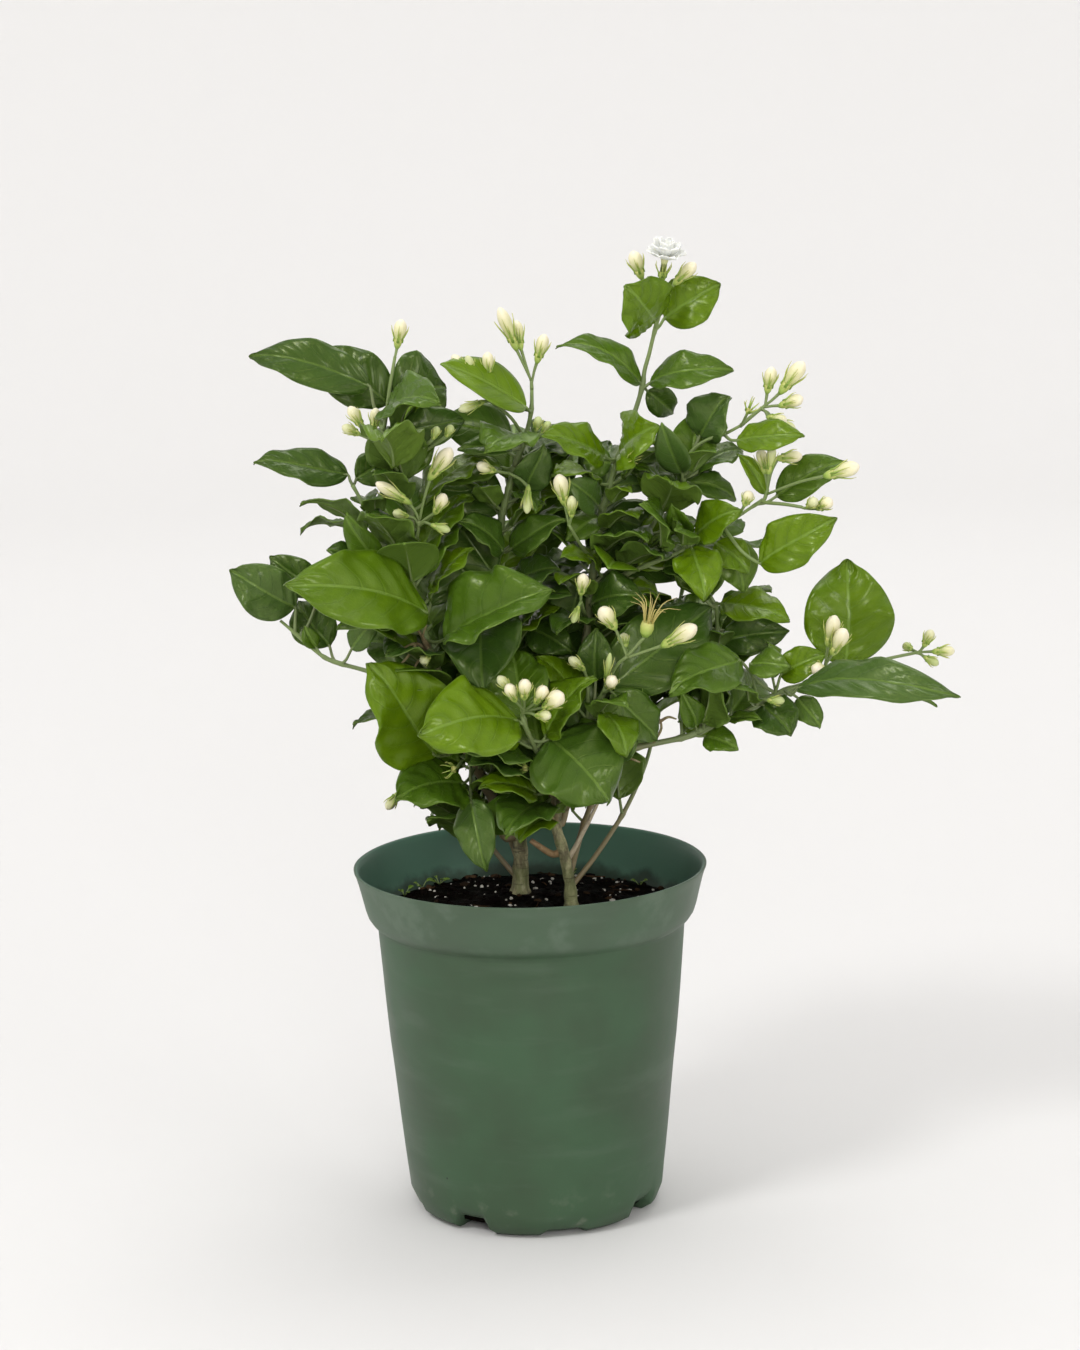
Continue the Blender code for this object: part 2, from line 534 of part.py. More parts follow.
def blade_point(shape, u, v):
    """A point of the blade: u runs from base to tip, v from -1 to 1 across."""
    along = shape["tip"] - shape["base"]
    face = (shape["face"] - along * (shape["face"].dot(along) / along.length_squared)).normalized()
    side = along.normalized().cross(face)
    fold = math.radians(shape["fold"])
    reach = shape["width"] * half_width(u) * abs(v) * MM
    lift = shape["arch"] * 4 * u * (1 - u) * MM + reach * math.sin(fold)
    return shape["base"] + along * u + side * math.copysign(reach * math.cos(fold), v) + face * lift


def blade_stations(length):
    if length > 24:
        return (0.0, 0.12, 0.38, 0.7, 1.0)
    if length > 12:
        return (0.0, 0.16, 0.5, 0.82, 1.0)
    return (0.0, 0.25, 0.7, 1.0)


def add_blade(bm, shape, thickness, foot=None):
    """A thin closed blade, folded along its midrib: pointed at both ends, or on a petiole from its foot."""
    stations = blade_stations((shape["tip"] - shape["base"]).length / MM)
    stalk = petiole_points(shape, foot)
    rows = stalk + [[blade_point(shape, u, v) for v in (-1, 0, 1)] for u in stations[bool(stalk):]]
    sheet = bmesh.new()
    bmesh.ops.create_grid(sheet, x_segments=len(rows) - 1, y_segments=2, size=1)
    for vert in sheet.verts:
        row = rows[round((vert.co.x + 1) / 2 * (len(rows) - 1))]
        vert.co = row[1 + round(vert.co.y)]
    bmesh.ops.remove_doubles(sheet, verts=sheet.verts, dist=0.00005)
    bmesh.ops.triangulate(sheet, faces=sheet.faces)
    bmesh.ops.solidify(sheet, geom=sheet.faces, thickness=thickness * MM)
    bmesh.ops.recalc_face_normals(sheet, faces=sheet.faces)
    add_bmesh(bm, sheet)


def petiole_points(shape, foot):
    """Rows across a channelled petiole, from inside its stem to the blade's base."""
    if foot is None:
        return []
    base = shape["base"]
    across = blade_point(shape, 0.3, 1) - blade_point(shape, 0.3, -1)
    foot = foot + (base - foot).normalized() * 0.6 * MM
    rows = []
    ends = [(foot, base - foot), (base, shape["tip"] - foot)]
    if (base - foot).length < SHORT_PETIOLE * MM:
        ends = [(foot, shape["tip"] - foot)]
    for point, ahead in ends:
        ahead = ahead.normalized()
        side = across.normalized()
        level = side - ahead * side.dot(ahead)
        if level.length < 0.35:
            level = ahead.cross(shape["face"])
            level *= math.copysign(1, level.dot(side))
        side = level.normalized()
        rim = side.cross(ahead) * PETIOLE * 0.5 * MM
        rows.append([point - side * PETIOLE * MM + rim, point - rim, point + side * PETIOLE * MM + rim])
    return rows


def add_bmesh(bm, other):
    mesh = bpy.data.meshes.new("piece")
    other.to_mesh(mesh)
    other.free()
    bm.from_mesh(mesh)
    bpy.data.meshes.remove(mesh)


def nearest_on(line, point):
    return min(line, key=lambda place: (place - point).length)


def foot_of(shape, stem_line):
    """Where a leaf's petiole leaves its stem: the place nearest to a point a little behind the blade's base."""
    behind = shape["base"] - (shape["tip"] - shape["base"]).normalized() * FOOT_BACK * MM
    return nearest_on(stem_line, behind)


def clear_start(line, skin, radius, spacing):
    """The line from the first place where its end cap stands off the parent's skin by the gap between nodes."""
    for index in range(len(line) - 2):
        across = Matrix.Diagonal((radius * MM, radius * MM, 1, 1))
        frame = ring_frames(coarse(line[index:], spacing)[:2])[0] @ across
        cap = [frame @ Vector((math.cos(turn), math.sin(turn), 0)) for turn in CAP_TURNS] + [line[index]]
        if all(stands_off(point, skin) for point in cap):
            return line[index:]
    return line


def stands_off(point, skin):
    place, normal, _, distance = skin.find_nearest(point)
    return distance >= NODE_GAP * MM and (point - place).dot(normal) > 0


def dense(line, spacing=0.0004):
    """The same line with a point at every short step, for measuring against."""
    points = []
    for a, b in zip(line, line[1:]):
        count = max(1, int((b - a).length / spacing))
        points += [a.lerp(b, step / count) for step in range(count)]
    points.append(line[-1])
    return points


def coarse(line, spacing):
    """A line with points about as far apart as spacing, keeping both ends."""
    kept = [line[0]]
    for point in line[1:-1]:
        if (point - kept[-1]).length > spacing and (point - line[-1]).length > spacing * 0.6:
            kept.append(point)
    kept.append(line[-1])
    return kept


def attached_line(points, steps, parent_line, skin, radius, spacing):
    """A child's route from its parent's skin, with points about as far apart as spacing."""
    joint = nearest_on(parent_line, points[0])
    start = [joint] if (joint - points[0]).length > 1 * MM else []
    return coarse(clear_start(dense(smooth(start + points, steps)), skin, radius, spacing), spacing)


def rear_leaves(line, spec):
    """Opposite pairs of leaves at even steps along a hidden stem, each pair turned a quarter from the last."""
    leaves = []
    count = spec["pairs"]
    for pair in range(count):
        share = 0.42 + 0.56 * pair / max(1, count - 1)
        index = min(int(share * (len(line) - 1)), len(line) - 3)
        ahead = (line[index + 2] - line[index]).normalized()
        across = ahead.cross(Vector((0, 1, 0.2))).normalized()
        turned = Matrix.Rotation(math.radians(90 * (pair % 2) + 25), 3, ahead) @ across
        length = spec["leaf"] * (1.0 - 0.12 * (pair % 2) - 0.1 * (pair == count - 1)) * MM
        for way in (-1, 1):
            out = (turned * way + ahead * 0.35 + Vector((0, 0, 0.12))).normalized()
            base = line[index] + out * 9 * MM
            face = (ahead + Vector((0, 0, 0.8))).normalized()
            leaves.append({
                "base": base, "tip": base + out * length, "face": face,
                "width": length / MM * 0.66, "arch": 4, "fold": 12,
            })
    return leaves


def tree_of(add, *args):
    bm = bmesh.new()
    add(bm, *args)
    tree = BVHTree.FromBMesh(bm)
    bm.free()
    return tree


def settle(shape_at, stem_line, others, siblings):
    """The first depth shift of a leaf at which it clears every other node and, if it can, its own stem's blades."""
    for shift in SETTLE_STEPS:
        shape = shape_at(shift)
        tree = tree_of(add_blade, shape, BLADE_CLEARANCE, foot_of(shape, stem_line))
        if not any(tree.overlap(other) for other in others + siblings):
            return shape, tree
    return settle(shape_at, stem_line, others, []) if siblings else (None, None)


def shiny(name, colour, roughness):
    material = bpy.data.materials.get(name)
    if material:
        return material
    material = bpy.data.materials.new(name)
    material.use_nodes = True
    shader = material.node_tree.nodes["Principled BSDF"]
    shader.inputs["Base Color"].default_value = (*colour, 1)
    shader.inputs["Roughness"].default_value = roughness
    material.diffuse_color = (*colour, 1)
    return material


def new_object(name, bm, collection=None):
    mesh = bpy.data.meshes.new(name)
    bm.to_mesh(mesh)
    bm.free()
    thing = bpy.data.objects.new(name, mesh)
    (collection or bpy.context.scene.collection).objects.link(thing)
    return thing


def finish(thing, kind):
    colour, roughness = COLOURS[kind]
    thing.data.materials.clear()
    thing.data.materials.append(shiny(kind, colour, roughness))
    thing.data.shade_smooth()
    thing.data.set_sharp_from_angle(angle=math.radians(35))


def apply_boolean(thing, operation, others=None, other=None, solver="EXACT", use_self=False):
    modifier = thing.modifiers.new("join", "BOOLEAN")
    modifier.operation = operation
    modifier.solver = solver
    modifier.use_self = use_self
    if others:
        modifier.operand_type = "COLLECTION"
        modifier.collection = others
    else:
        modifier.object = other
    graph = bpy.context.evaluated_depsgraph_get()
    mesh = bpy.data.meshes.new_from_object(thing.evaluated_get(graph))
    thing.modifiers.clear()
    old = thing.data
    thing.data = mesh
    bpy.data.meshes.remove(old)


def fuse(name, pieces, kind):
    """One sound node from closed pieces that overlap, with the pieces a hair apart where the union needs it."""
    for nudge in NUDGES:
        body = join(name, pieces, nudge)
        if merge_slivers(body):
            finish(body, kind)
            return
        bpy.data.objects.remove(body)
    raise RuntimeError(f"{name} can't be joined")


def join(name, pieces, nudge):
    collection = cutter_collection(name + "_pieces")
    body = new_object(name, pieces[0].copy())
    for index, piece in enumerate(pieces[1:]):
        moved = piece.copy()
        away = Vector((math.cos(index), math.sin(index), math.cos(2 * index))) * nudge * MM
        bmesh.ops.translate(moved, verts=moved.verts, vec=away)
        new_object(f"{name}_piece_{index}", moved, collection)
    if len(pieces) > 1:
        apply_boolean(body, "UNION", others=collection, use_self=True)
    discard(collection)
    return body


def sound(bm):
    """True where a mesh is one closed body and nowhere crosses itself."""
    if any(len(edge.link_faces) != 2 for edge in bm.edges):
        return False
    bm.faces.ensure_lookup_table()
    reached = {bm.faces[0]}
    front = [bm.faces[0]]
    while front:
        face = front.pop()
        fresh = {near for edge in face.edges for near in edge.link_faces} - reached
        reached |= fresh
        front += fresh
    if len(reached) < len(bm.faces):
        return False
    tree = BVHTree.FromBMesh(bm)
    for one, two in tree.overlap(tree):
        if one < two and not set(bm.faces[one].verts) & set(bm.faces[two].verts):
            return False
    return True


def merge_slivers(body):
    """Merges the short edges that the union leaves, by the longest reach that keeps the body sound, if any."""
    ways = ("BEAUTY", "EAR_CLIP")
    for reach, first_way, second_way in itertools.product(SLIVER_REACHES, ways, ways):
        bm = bmesh.new()
        bm.from_mesh(body.data)
        passed = [vert for vert in bm.verts if len(vert.link_edges) == 2]
        bmesh.ops.dissolve_verts(bm, verts=passed)
        bmesh.ops.triangulate(bm, faces=bm.faces, ngon_method=first_way)
        bmesh.ops.dissolve_degenerate(bm, edges=bm.edges, dist=reach * MM)
        bmesh.ops.triangulate(bm, faces=bm.faces, ngon_method=second_way)
        good = sound(bm)
        if good:
            bm.to_mesh(body.data)
        bm.free()
        if good:
            return True
    return False


def piece_of(add, *args):
    bm = bmesh.new()
    add(bm, *args)
    return bm


def turned(outline, sides):
    """A solid of revolution from its outline, which starts and ends on the axis."""
    bm = bmesh.new()
    verts = [bm.verts.new((radius * MM, 0, height * MM)) for radius, height in outline]
    edges = [bm.edges.new(pair) for pair in zip(verts, verts[1:])]
    bmesh.ops.spin(
        bm, geom=verts + edges, axis=(0, 0, 1), cent=(0, 0, 0), angle=2 * math.pi, steps=sides, use_merge=True
    )
    bmesh.ops.remove_doubles(bm, verts=bm.verts, dist=0.00001)
    bmesh.ops.recalc_face_normals(bm, faces=bm.faces)
    return bm


def inside_outline(gap):
    """The pot's inner wall from the floor up, moved inward by the gap."""
    inner = [(radius - POT_WALL - gap, height) for radius, height in POT_OUTSIDE[2:-2]]
    return [(inner[0][0] - 3.0, POT_FLOOR + gap), (inner[0][0], POT_FLOOR + 4.0 + gap)] + inner[1:]


def groove_box(name, angle, groove, grow, collection):
    """A radial box at the foot: the groove itself, or the skin over it when grown by the wall."""
    height = groove["height"] + grow
    reach = 80.0 - groove["from"] + grow
    bm = bmesh.new()
    low = -5.0 if grow == 0 else POT_FLOOR * 0.4
    size = (reach, groove["width"] + 2 * grow, height - low)
    middle = (groove["from"] - grow + reach / 2, 0, (height + low) / 2)
    bmesh.ops.create_cube(bm, size=1, matrix=Matrix.Diagonal((*[s * MM for s in size], 1)))
    bmesh.ops.translate(bm, verts=bm.verts, vec=[m * MM for m in middle])
    bmesh.ops.rotate(bm, verts=bm.verts, matrix=Matrix.Rotation(math.radians(angle - 90), 3, "Z"))
    box = new_object(name, bm, collection)
    box.hide_render = True
    box.display_type = "WIRE"
    return box


def cutter_collection(name):
    collection = bpy.data.collections.new(name)
    bpy.context.scene.collection.children.link(collection)
    return collection


def discard(collection):
    for thing in list(collection.objects):
        bpy.data.objects.remove(thing)
    bpy.data.collections.remove(collection)


def make_pot():
    lip = POT_OUTSIDE[-1][1]
    inside = [(POT_LIP_INNER, lip)] + inside_outline(0.0)[::-1]
    pot = new_object("pot", turned([(0, 0)] + POT_OUTSIDE + inside + [(0, POT_FLOOR)], POT_SIDES))
    outer = new_object("pot_outer", turned([(0, 0)] + POT_OUTSIDE[:5] + [(0, POT_OUTSIDE[4][1])], POT_SIDES))
    skins = cutter_collection("groove_skins")
    for index, angle in enumerate(DEEP_GROOVES):
        box = groove_box(f"skin_{index}", angle, DEEP_GROOVE, POT_WALL, skins)
        apply_boolean(box, "INTERSECT", other=outer)
    apply_boolean(pot, "UNION", others=skins)
    discard(skins)
    bpy.data.objects.remove(outer)
    cutters = cutter_collection("groove_cutters")
    for index, angle in enumerate(SHALLOW_GROOVES):
        groove_box(f"shallow_{index}", angle, SHALLOW_GROOVE, 0.0, cutters)
    for index, angle in enumerate(DEEP_GROOVES):
        groove_box(f"deep_{index}", angle, DEEP_GROOVE, 0.0, cutters)
        turn = math.radians(angle - 90)
        place = Vector((math.cos(turn), math.sin(turn), 0)) * 46 * MM
        bm = bmesh.new()
        bmesh.ops.create_cone(
            bm, cap_ends=True, segments=12, radius1=DRAIN_HOLE / 2 * MM, radius2=DRAIN_HOLE / 2 * MM,
            depth=20 * MM, matrix=Matrix.Translation(place + Vector((0, 0, 8 * MM))),
        )
        hole = new_object(f"drain_{index}", bm, cutters)
        hole.hide_render = True
        hole.display_type = "WIRE"
    apply_boolean(pot, "DIFFERENCE", others=cutters)
    discard(cutters)
    finish(pot, "pot")
    return pot


def make_soil(trunk_specs):
    wall = [point for point in inside_outline(FIT_GAP) if point[1] < SOIL_EDGE]
    rim = POT_OUTSIDE[6][0] - POT_WALL - FIT_GAP
    top = [(rim, SOIL_EDGE), (62, SOIL_EDGE + 2.6), (34, SOIL_TOP - 0.8), (0, SOIL_TOP)]
    soil = new_object("soil", turned([(0, POT_FLOOR + FIT_GAP)] + wall + top, POT_SIDES))
    cutters = cutter_collection("soil_cutters")
    for index, angle in enumerate(DEEP_GROOVES):
        groove_box(f"room_{index}", angle, DEEP_GROOVE, POT_WALL + FIT_GAP, cutters)
    for name, spec in trunk_specs.items():
        line = smooth([seen(point) for point in spec["path"]], 2)
        below = line[0] - (line[1] - line[0]).normalized() * (NODE_GAP * MM)
        radii = [radius + FIT_GAP * MM for radius in taper(len(line), spec["radius"])]
        hole = new_object(name + "_hole", piece_of(add_tube, [below] + line, [radii[0]] + radii, TRUNK_SIDES), cutters)
        hole.hide_render = True
        hole.display_type = "WIRE"
    apply_boolean(soil, "DIFFERENCE", others=cutters)
    discard(cutters)
    finish(soil, "soil")
    return soil


def make_trunks(lines):
    for name, spec in TRUNKS.items():
        line = smooth([seen(point) for point in spec["path"]], 2)
        lines[name] = dense(line)
        pieces = [piece_of(add_tube, line, taper(len(line), spec["radius"]), TRUNK_SIDES)]
        for branch in spec["side"]:
            side = smooth([seen(point) for point in branch["path"]], 2)
            pieces.append(piece_of(add_tube, side, taper(len(side), branch["radius"]), 5))
        yield name, pieces


def bud_axis(bud):
    base, tip, radius = bud
    return seen(base), seen(tip), radius


def add_bud(bm, stalk, base, tip, radius):
    """A bud on its pedicel, in one tapering piece from the foot of the stalk."""
    ahead = (tip - base).normalized()
    bend = stalk[-1].lerp(base, 0.55) - ahead * 0.6 * MM
    line = stalk + [bend] + [base.lerp(tip, share) for share, _ in BUD_PROFILE]
    radii = [PEDICEL * MM] * (len(stalk) + 1) + [radius * MM * girth for _, girth in BUD_PROFILE]
    add_tube(bm, line, radii, BUD_SIDES)


def teeth_of(base, tip, radius):
    """Slim pointed calyx teeth, standing out round the foot of a bud."""
    along = (tip - base).normalized()
    side = along.orthogonal().normalized()
    up = along.cross(side)
    teeth = []
    for index in range(CALYX_TEETH):
        turn = 2 * math.pi * (index + 0.5) / CALYX_TEETH
        out = side * math.cos(turn) + up * math.sin(turn)
        root = base + along * (tip - base).length * 0.24 + out * radius * 0.42 * MM
        end = root + along * 6.5 * MM + out * (radius * 0.75 + 1.0) * MM
        teeth.append((root, end))
    return teeth


def add_spike(bm, root, end):
    """A three-sided needle, as calyx teeth and flower threads are."""
    add_tube(bm, [root, end], [NEEDLE * MM, NEEDLE * 0.4 * MM], 3)


def cluster_pieces(spec, start_line):
    """The stalk, pedicels, buds, teeth, spent threads and flower petals of one cluster."""
    joint = start_line[-1]
    heads = [bud_axis(bud) for bud in spec["buds"]]
    if len(heads) == 1 and "spent" not in spec:
        return [piece_of(add_bud, start_line, *heads[0])]
    pieces = [piece_of(add_tube, start_line, taper(len(start_line), STALK), STEM_SIDES)]
    back = (start_line[-2] - joint).normalized()
    for index, (base, tip, radius) in enumerate(heads):
        foot = joint + back * (0.3 + 0.7 * index) * MM
        pieces.append(piece_of(add_bud, [foot], base, tip, radius))
        if radius >= TOOTHED_BUD:
            pieces += [piece_of(add_spike, *tooth) for tooth in teeth_of(base, tip, radius)]
    for base, tip, radius in map(bud_axis, spec.get("spent", [])):
        pieces += spent_pieces(joint, base, tip, radius)
    if "flower" in spec:
        pieces += flower_pieces(joint, *bud_axis(spec["flower"]))
    return pieces


def spent_pieces(joint, base, tip, radius):
    """A spent flower: its calyx cup and a loose brush of bare threads."""
    along = (tip - base).normalized()
    side = along.orthogonal().normalized()
    up = along.cross(side)
    cup = [base, base + along * 3 * MM, base + along * 7.5 * MM]
    pieces = [
        piece_of(add_tube, [joint, base + along * 1 * MM], [PEDICEL * MM] * 2, THIN_SIDES),
        piece_of(add_tube, cup, [0.4 * radius * MM, 0.9 * radius * MM, 0.7 * radius * MM], BUD_SIDES),
    ]
    for index in range(SPENT_THREADS):
        turn = 2 * math.pi * index / SPENT_THREADS
        out = side * math.cos(turn) + up * math.sin(turn)
        spread = 0.25 + 0.5 * ((index * 3) % SPENT_THREADS) / SPENT_THREADS
        root = base + along * 5 * MM + out * 0.3 * radius * MM
        end = root + (along + out * spread) * ((tip - base).length - 6 * MM)
        pieces.append(piece_of(add_spike, root, end))
    return pieces


def flower_pieces(joint, base, mouth, reach):
    """The open flower: a calyx and tube, a round heart and two rings of petals."""
    along = (mouth - base).normalized()
    side = along.orthogonal().normalized()
    up = along.cross(side)
    heart = [joint, base] + [mouth + along * height * MM for height, _ in FLOWER_HEART]
    girths = [0.7, 1.0] + [girth for _, girth in FLOWER_HEART]
    pieces = [piece_of(add_tube, heart, [girth * MM for girth in girths], FLOWER_SIDES)]
    for ring in FLOWER_RINGS:
        for index in range(ring["petals"]):
            turn = 2 * math.pi * (index + ring["turn"]) / ring["petals"]
            out = side * math.cos(turn) + up * math.sin(turn)
            root = mouth + along * ring["height"] * MM + out * ring["root"] * MM
            end = root + (out + along * ring["lift"]).normalized() * reach * ring["share"] * MM
            shape = {"base": root, "tip": end, "face": along, "width": ring["width"], "arch": -1.0, "fold": 12}
            pieces.append(piece_of(add_blade, shape, BLADE))
    return pieces


def place_clusters(lines, skins):
    """Each cluster's pieces, and one tree of them for the leaves to keep clear of."""
    clusters = {}
    trees = {}
    for name, spec in CLUSTERS.items():
        stalk = [seen(point) for point in spec["stalk"]]
        parent = spec["parent"]
        line = attached_line(stalk, 3, lines[parent], skins[parent], STALK[0], STALK_STEP * MM)
        clusters[name] = cluster_pieces(spec, line)
        trees[name] = tree_of_pieces(clusters[name])
    return clusters, trees


def tree_of_pieces(pieces):
    whole = bmesh.new()
    for piece in pieces:
        mesh = bpy.data.meshes.new("piece")
        piece.to_mesh(mesh)
        whole.from_mesh(mesh)
        bpy.data.meshes.remove(mesh)
    tree = BVHTree.FromBMesh(whole)
    whole.free()
    return tree


def stem_routes(specs, lines, skins):
    """The points of each stem's tube; lines gets the same route with a point at every short step."""
    routes = {}
    for name, spec in specs.items():
        path = [seen(point) for point in spec["path"]]
        parent = spec["parent"]
        route = attached_line(path, 6, lines[parent], skins[parent], spec["radius"][0], STEM_STEP * MM)
        lines[name] = dense(route)
        skins[name] = tree_of(add_tube, route, taper(len(route), spec["radius"]), STEM_SIDES)
        routes[name] = route
    return routes


def shift_listed(leaf):
    def shape_at(shift):
        return leaf_shape(leaf, shift * 0.5, shift)
    return shape_at


def shift_rear(shape):
    def shape_at(shift):
        moved = dict(shape)
        moved["tip"] = shape["tip"] + Vector((0, 0.4 * shift, shift)) * MM
        return moved
    return shape_at


def make_plant(holders):
    """Every trunk, stem and cluster, clear of each other and of the holders, which are the pot and its mix."""
    lines = {}
    nodes = [(name, pieces, "trunk") for name, pieces in make_trunks(lines)]
    trees = {name: tree_of_pieces(pieces) for name, pieces, _ in nodes}
    skins = dict(trees)
    for holder in holders:
        trees[holder.name] = tree_of(bmesh.types.BMesh.from_mesh, holder.data)
    specs = {**STEMS, **REAR_STEMS}
    stems = {}
    for name, line in stem_routes(specs, lines, skins).items():
        spec = specs[name]
        stems[name] = [piece_of(add_tube, line, taper(len(line), spec["radius"]), STEM_SIDES)]
        trees[name] = tree_of(add_tube, line, [r + 0.0004 for r in taper(len(line), spec["radius"])], STEM_SIDES)
    clusters, cluster_trees = place_clusters(lines, skins)
    leaf_trees = {name: [] for name in specs}
    blades = {name: [] for name in specs}
    for name, spec in specs.items():
        shapes = [shift_listed(leaf) for leaf in spec.get("leaves", [])]
        if "pairs" in spec:
            shapes = [shift_rear(shape) for shape in rear_leaves(lines[name], spec)]
        others = [tree for key, tree in trees.items() if key != name] + list(cluster_trees.values())
        for shape_at in shapes:
            rivals = others + [tree for key, kept in leaf_trees.items() if key != name for tree in kept]
            shape, tree = settle(shape_at, lines[name], rivals, blades[name])
            if shape is None:
                continue
            leaf_trees[name].append(tree)
            blades[name].append(tree_of(add_blade, shape, BLADE))
            stems[name].append(piece_of(add_blade, shape, BLADE, foot_of(shape, lines[name])))
    for name, pieces in stems.items():
        nodes.append((name, pieces, "stem"))
    for name, pieces in clusters.items():
        nodes.append((name, pieces, "buds"))
    for name, pieces, kind in nodes:
        fuse(name, pieces, kind)


def main():
    for thing in list(bpy.data.objects):
        bpy.data.objects.remove(thing)
    make_plant([make_pot(), make_soil(TRUNKS)])


main()
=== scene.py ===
import itertools
import json
import math
import random

import bmesh
import bpy
from mathutils import Matrix, Vector, noise
from mathutils.bvhtree import BVHTree

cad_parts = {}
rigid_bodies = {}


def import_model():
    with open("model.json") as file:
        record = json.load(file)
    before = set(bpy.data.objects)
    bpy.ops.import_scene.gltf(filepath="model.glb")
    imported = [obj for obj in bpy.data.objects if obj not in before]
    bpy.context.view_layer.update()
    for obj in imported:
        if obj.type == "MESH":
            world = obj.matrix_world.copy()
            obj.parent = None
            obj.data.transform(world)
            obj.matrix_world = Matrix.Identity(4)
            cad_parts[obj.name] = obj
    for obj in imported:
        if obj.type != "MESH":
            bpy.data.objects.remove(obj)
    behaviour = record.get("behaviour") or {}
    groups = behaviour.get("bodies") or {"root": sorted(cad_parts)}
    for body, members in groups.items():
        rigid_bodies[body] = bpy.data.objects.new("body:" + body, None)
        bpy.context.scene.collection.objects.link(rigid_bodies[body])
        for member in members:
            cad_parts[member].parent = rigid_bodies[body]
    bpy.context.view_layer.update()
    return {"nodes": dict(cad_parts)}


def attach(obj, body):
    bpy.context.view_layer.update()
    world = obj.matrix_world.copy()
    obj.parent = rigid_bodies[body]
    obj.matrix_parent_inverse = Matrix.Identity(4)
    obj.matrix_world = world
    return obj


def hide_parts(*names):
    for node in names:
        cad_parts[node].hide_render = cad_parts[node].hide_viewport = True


# Potted arabian jasmine. Sizes are in millimetres, and a place on the plant is (x, depth, z) as the camera
# sees it: atDepth() moves it along the line of sight to its real place.

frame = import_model()
mm = 0.001
fineStep = 0.4  # between the points of a stem's line, in millimetres


# Small helpers for lines, tubes and pieces.

def clamp(value, low=0.0, high=1.0):
    return max(low, min(high, value))


def softStep(low, high, value):
    share = clamp((value - low) / (high - low))
    return share * share * (3 - 2 * share)


def bump(value, middle, width):
    return math.exp(-((value - middle) / width) ** 2)


sight = {"x": 6.5, "z": 561.5, "distance": 1583.0, "depthScale": 1.45}


def atDepth(point):
    x, depth, z = point
    depth *= sight["depthScale"]
    grow = (sight["distance"] + depth) / sight["distance"]
    return Vector((sight["x"] + (x - sight["x"]) * grow, depth, sight["z"] + (z - sight["z"]) * grow)) * mm


def smoothLine(points, steps):
    if len(points) < 3:
        return [points[0].lerp(points[-1], step / steps) for step in range(steps + 1)]
    line = []
    ends = [points[0] * 2 - points[1]] + points + [points[-1] * 2 - points[-2]]
    for a, b, c, d in zip(ends, ends[1:], ends[2:], ends[3:]):
        for step in range(steps):
            t = step / steps
            bend = (2 * a - 5 * b + 4 * c - d) * t ** 2 + (3 * b - a - 3 * c + d) * t ** 3
            line.append(0.5 * (2 * b + (c - a) * t + bend))
    line.append(points[-1].copy())
    return line


def evenLine(line, spacing):  # the same route with its points at even steps, in millimetres
    lengths = [0.0]
    for a, b in zip(line, line[1:]):
        lengths.append(lengths[-1] + (b - a).length)
    count = max(2, int(lengths[-1] / (spacing * mm)))
    points = []
    index = 0
    for step in range(count + 1):
        goal = lengths[-1] * step / count
        while index < len(line) - 2 and lengths[index + 1] < goal:
            index += 1
        span = max(lengths[index + 1] - lengths[index], 1e-9)
        points.append(line[index].lerp(line[index + 1], (goal - lengths[index]) / span))
    return points


def tapered(line, first, last):  # radii along a line, from millimetres to metres
    return [(first + (last - first) * step / (len(line) - 1)) * mm for step in range(len(line))]


def nearestOn(line, point):
    return min(line, key=lambda place: (place - point).length)


def framesAlong(line):
    frames = []
    side = Vector((0.31, 0.93, 0.2))
    for index, point in enumerate(line):
        ahead = (line[min(index + 1, len(line) - 1)] - line[max(index - 1, 0)]).normalized()
        side = (side - ahead * side.dot(ahead)).normalized()
        turn = Matrix((side, ahead.cross(side), ahead)).transposed().to_4x4()
        turn.translation = point
        frames.append(turn)
    return frames


looks = ("along", "across", "offset", "tone", "grey", "under")  # what the plant's materials read


def newMesh():
    bm = bmesh.new()
    return bm, {name: bm.verts.layers.float.new(name) for name in looks}


def paint(verts, layers, **values):
    for vert in verts:
        for name, value in values.items():
            vert[layers[name]] = value


def addTube(bm, layers, line, radii, sides, slotIndex=0, relief=None, **values):
    # A closed tube: radii in metres, and relief(share, turn) scales each point's distance from the line.
    places = framesAlong(line)
    places = [places[0]] + places + [places[-1]]
    girths = [0.0] + list(radii) + [0.0]
    last = len(places) - 1
    made = bmesh.ops.create_grid(bm, x_segments=last, y_segments=sides, size=1)["verts"]
    for vert in made:
        row = round((vert.co.x + 1) / 2 * last)
        turn = 2 * math.pi * (round((vert.co.y + 1) / 2 * sides) % sides) / sides
        share = clamp((row - 1) / max(1, last - 2))
        girth = girths[row] * (relief(share, turn) if relief else 1.0)
        vert.co = places[row] @ Vector((girth * math.cos(turn), girth * math.sin(turn), 0))
        vert[layers["along"]] = share
        vert[layers["across"]] = math.sin(turn)
        for name, value in values.items():
            vert[layers[name]] = value(share) if callable(value) else value
    bmesh.ops.remove_doubles(bm, verts=made, dist=0.000002)
    made = [vert for vert in made if vert.is_valid]
    faces = list({face for vert in made for face in vert.link_faces})
    bmesh.ops.recalc_face_normals(bm, faces=faces)
    for face in faces:
        face.material_index = slotIndex
        face.smooth = True
    return made


def finishPiece(name, bm, materials, node=None, sharp=None):
    mesh = bpy.data.meshes.new(name)
    bm.to_mesh(mesh)
    bm.free()
    for material in materials:
        mesh.materials.append(material)
    piece = bpy.data.objects.new(name, mesh)
    bpy.context.scene.collection.objects.link(piece)
    if sharp:
        mesh.shade_smooth()
        mesh.set_sharp_from_angle(angle=math.radians(sharp))
    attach(piece, "root")
    if node:
        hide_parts(node)
    return piece


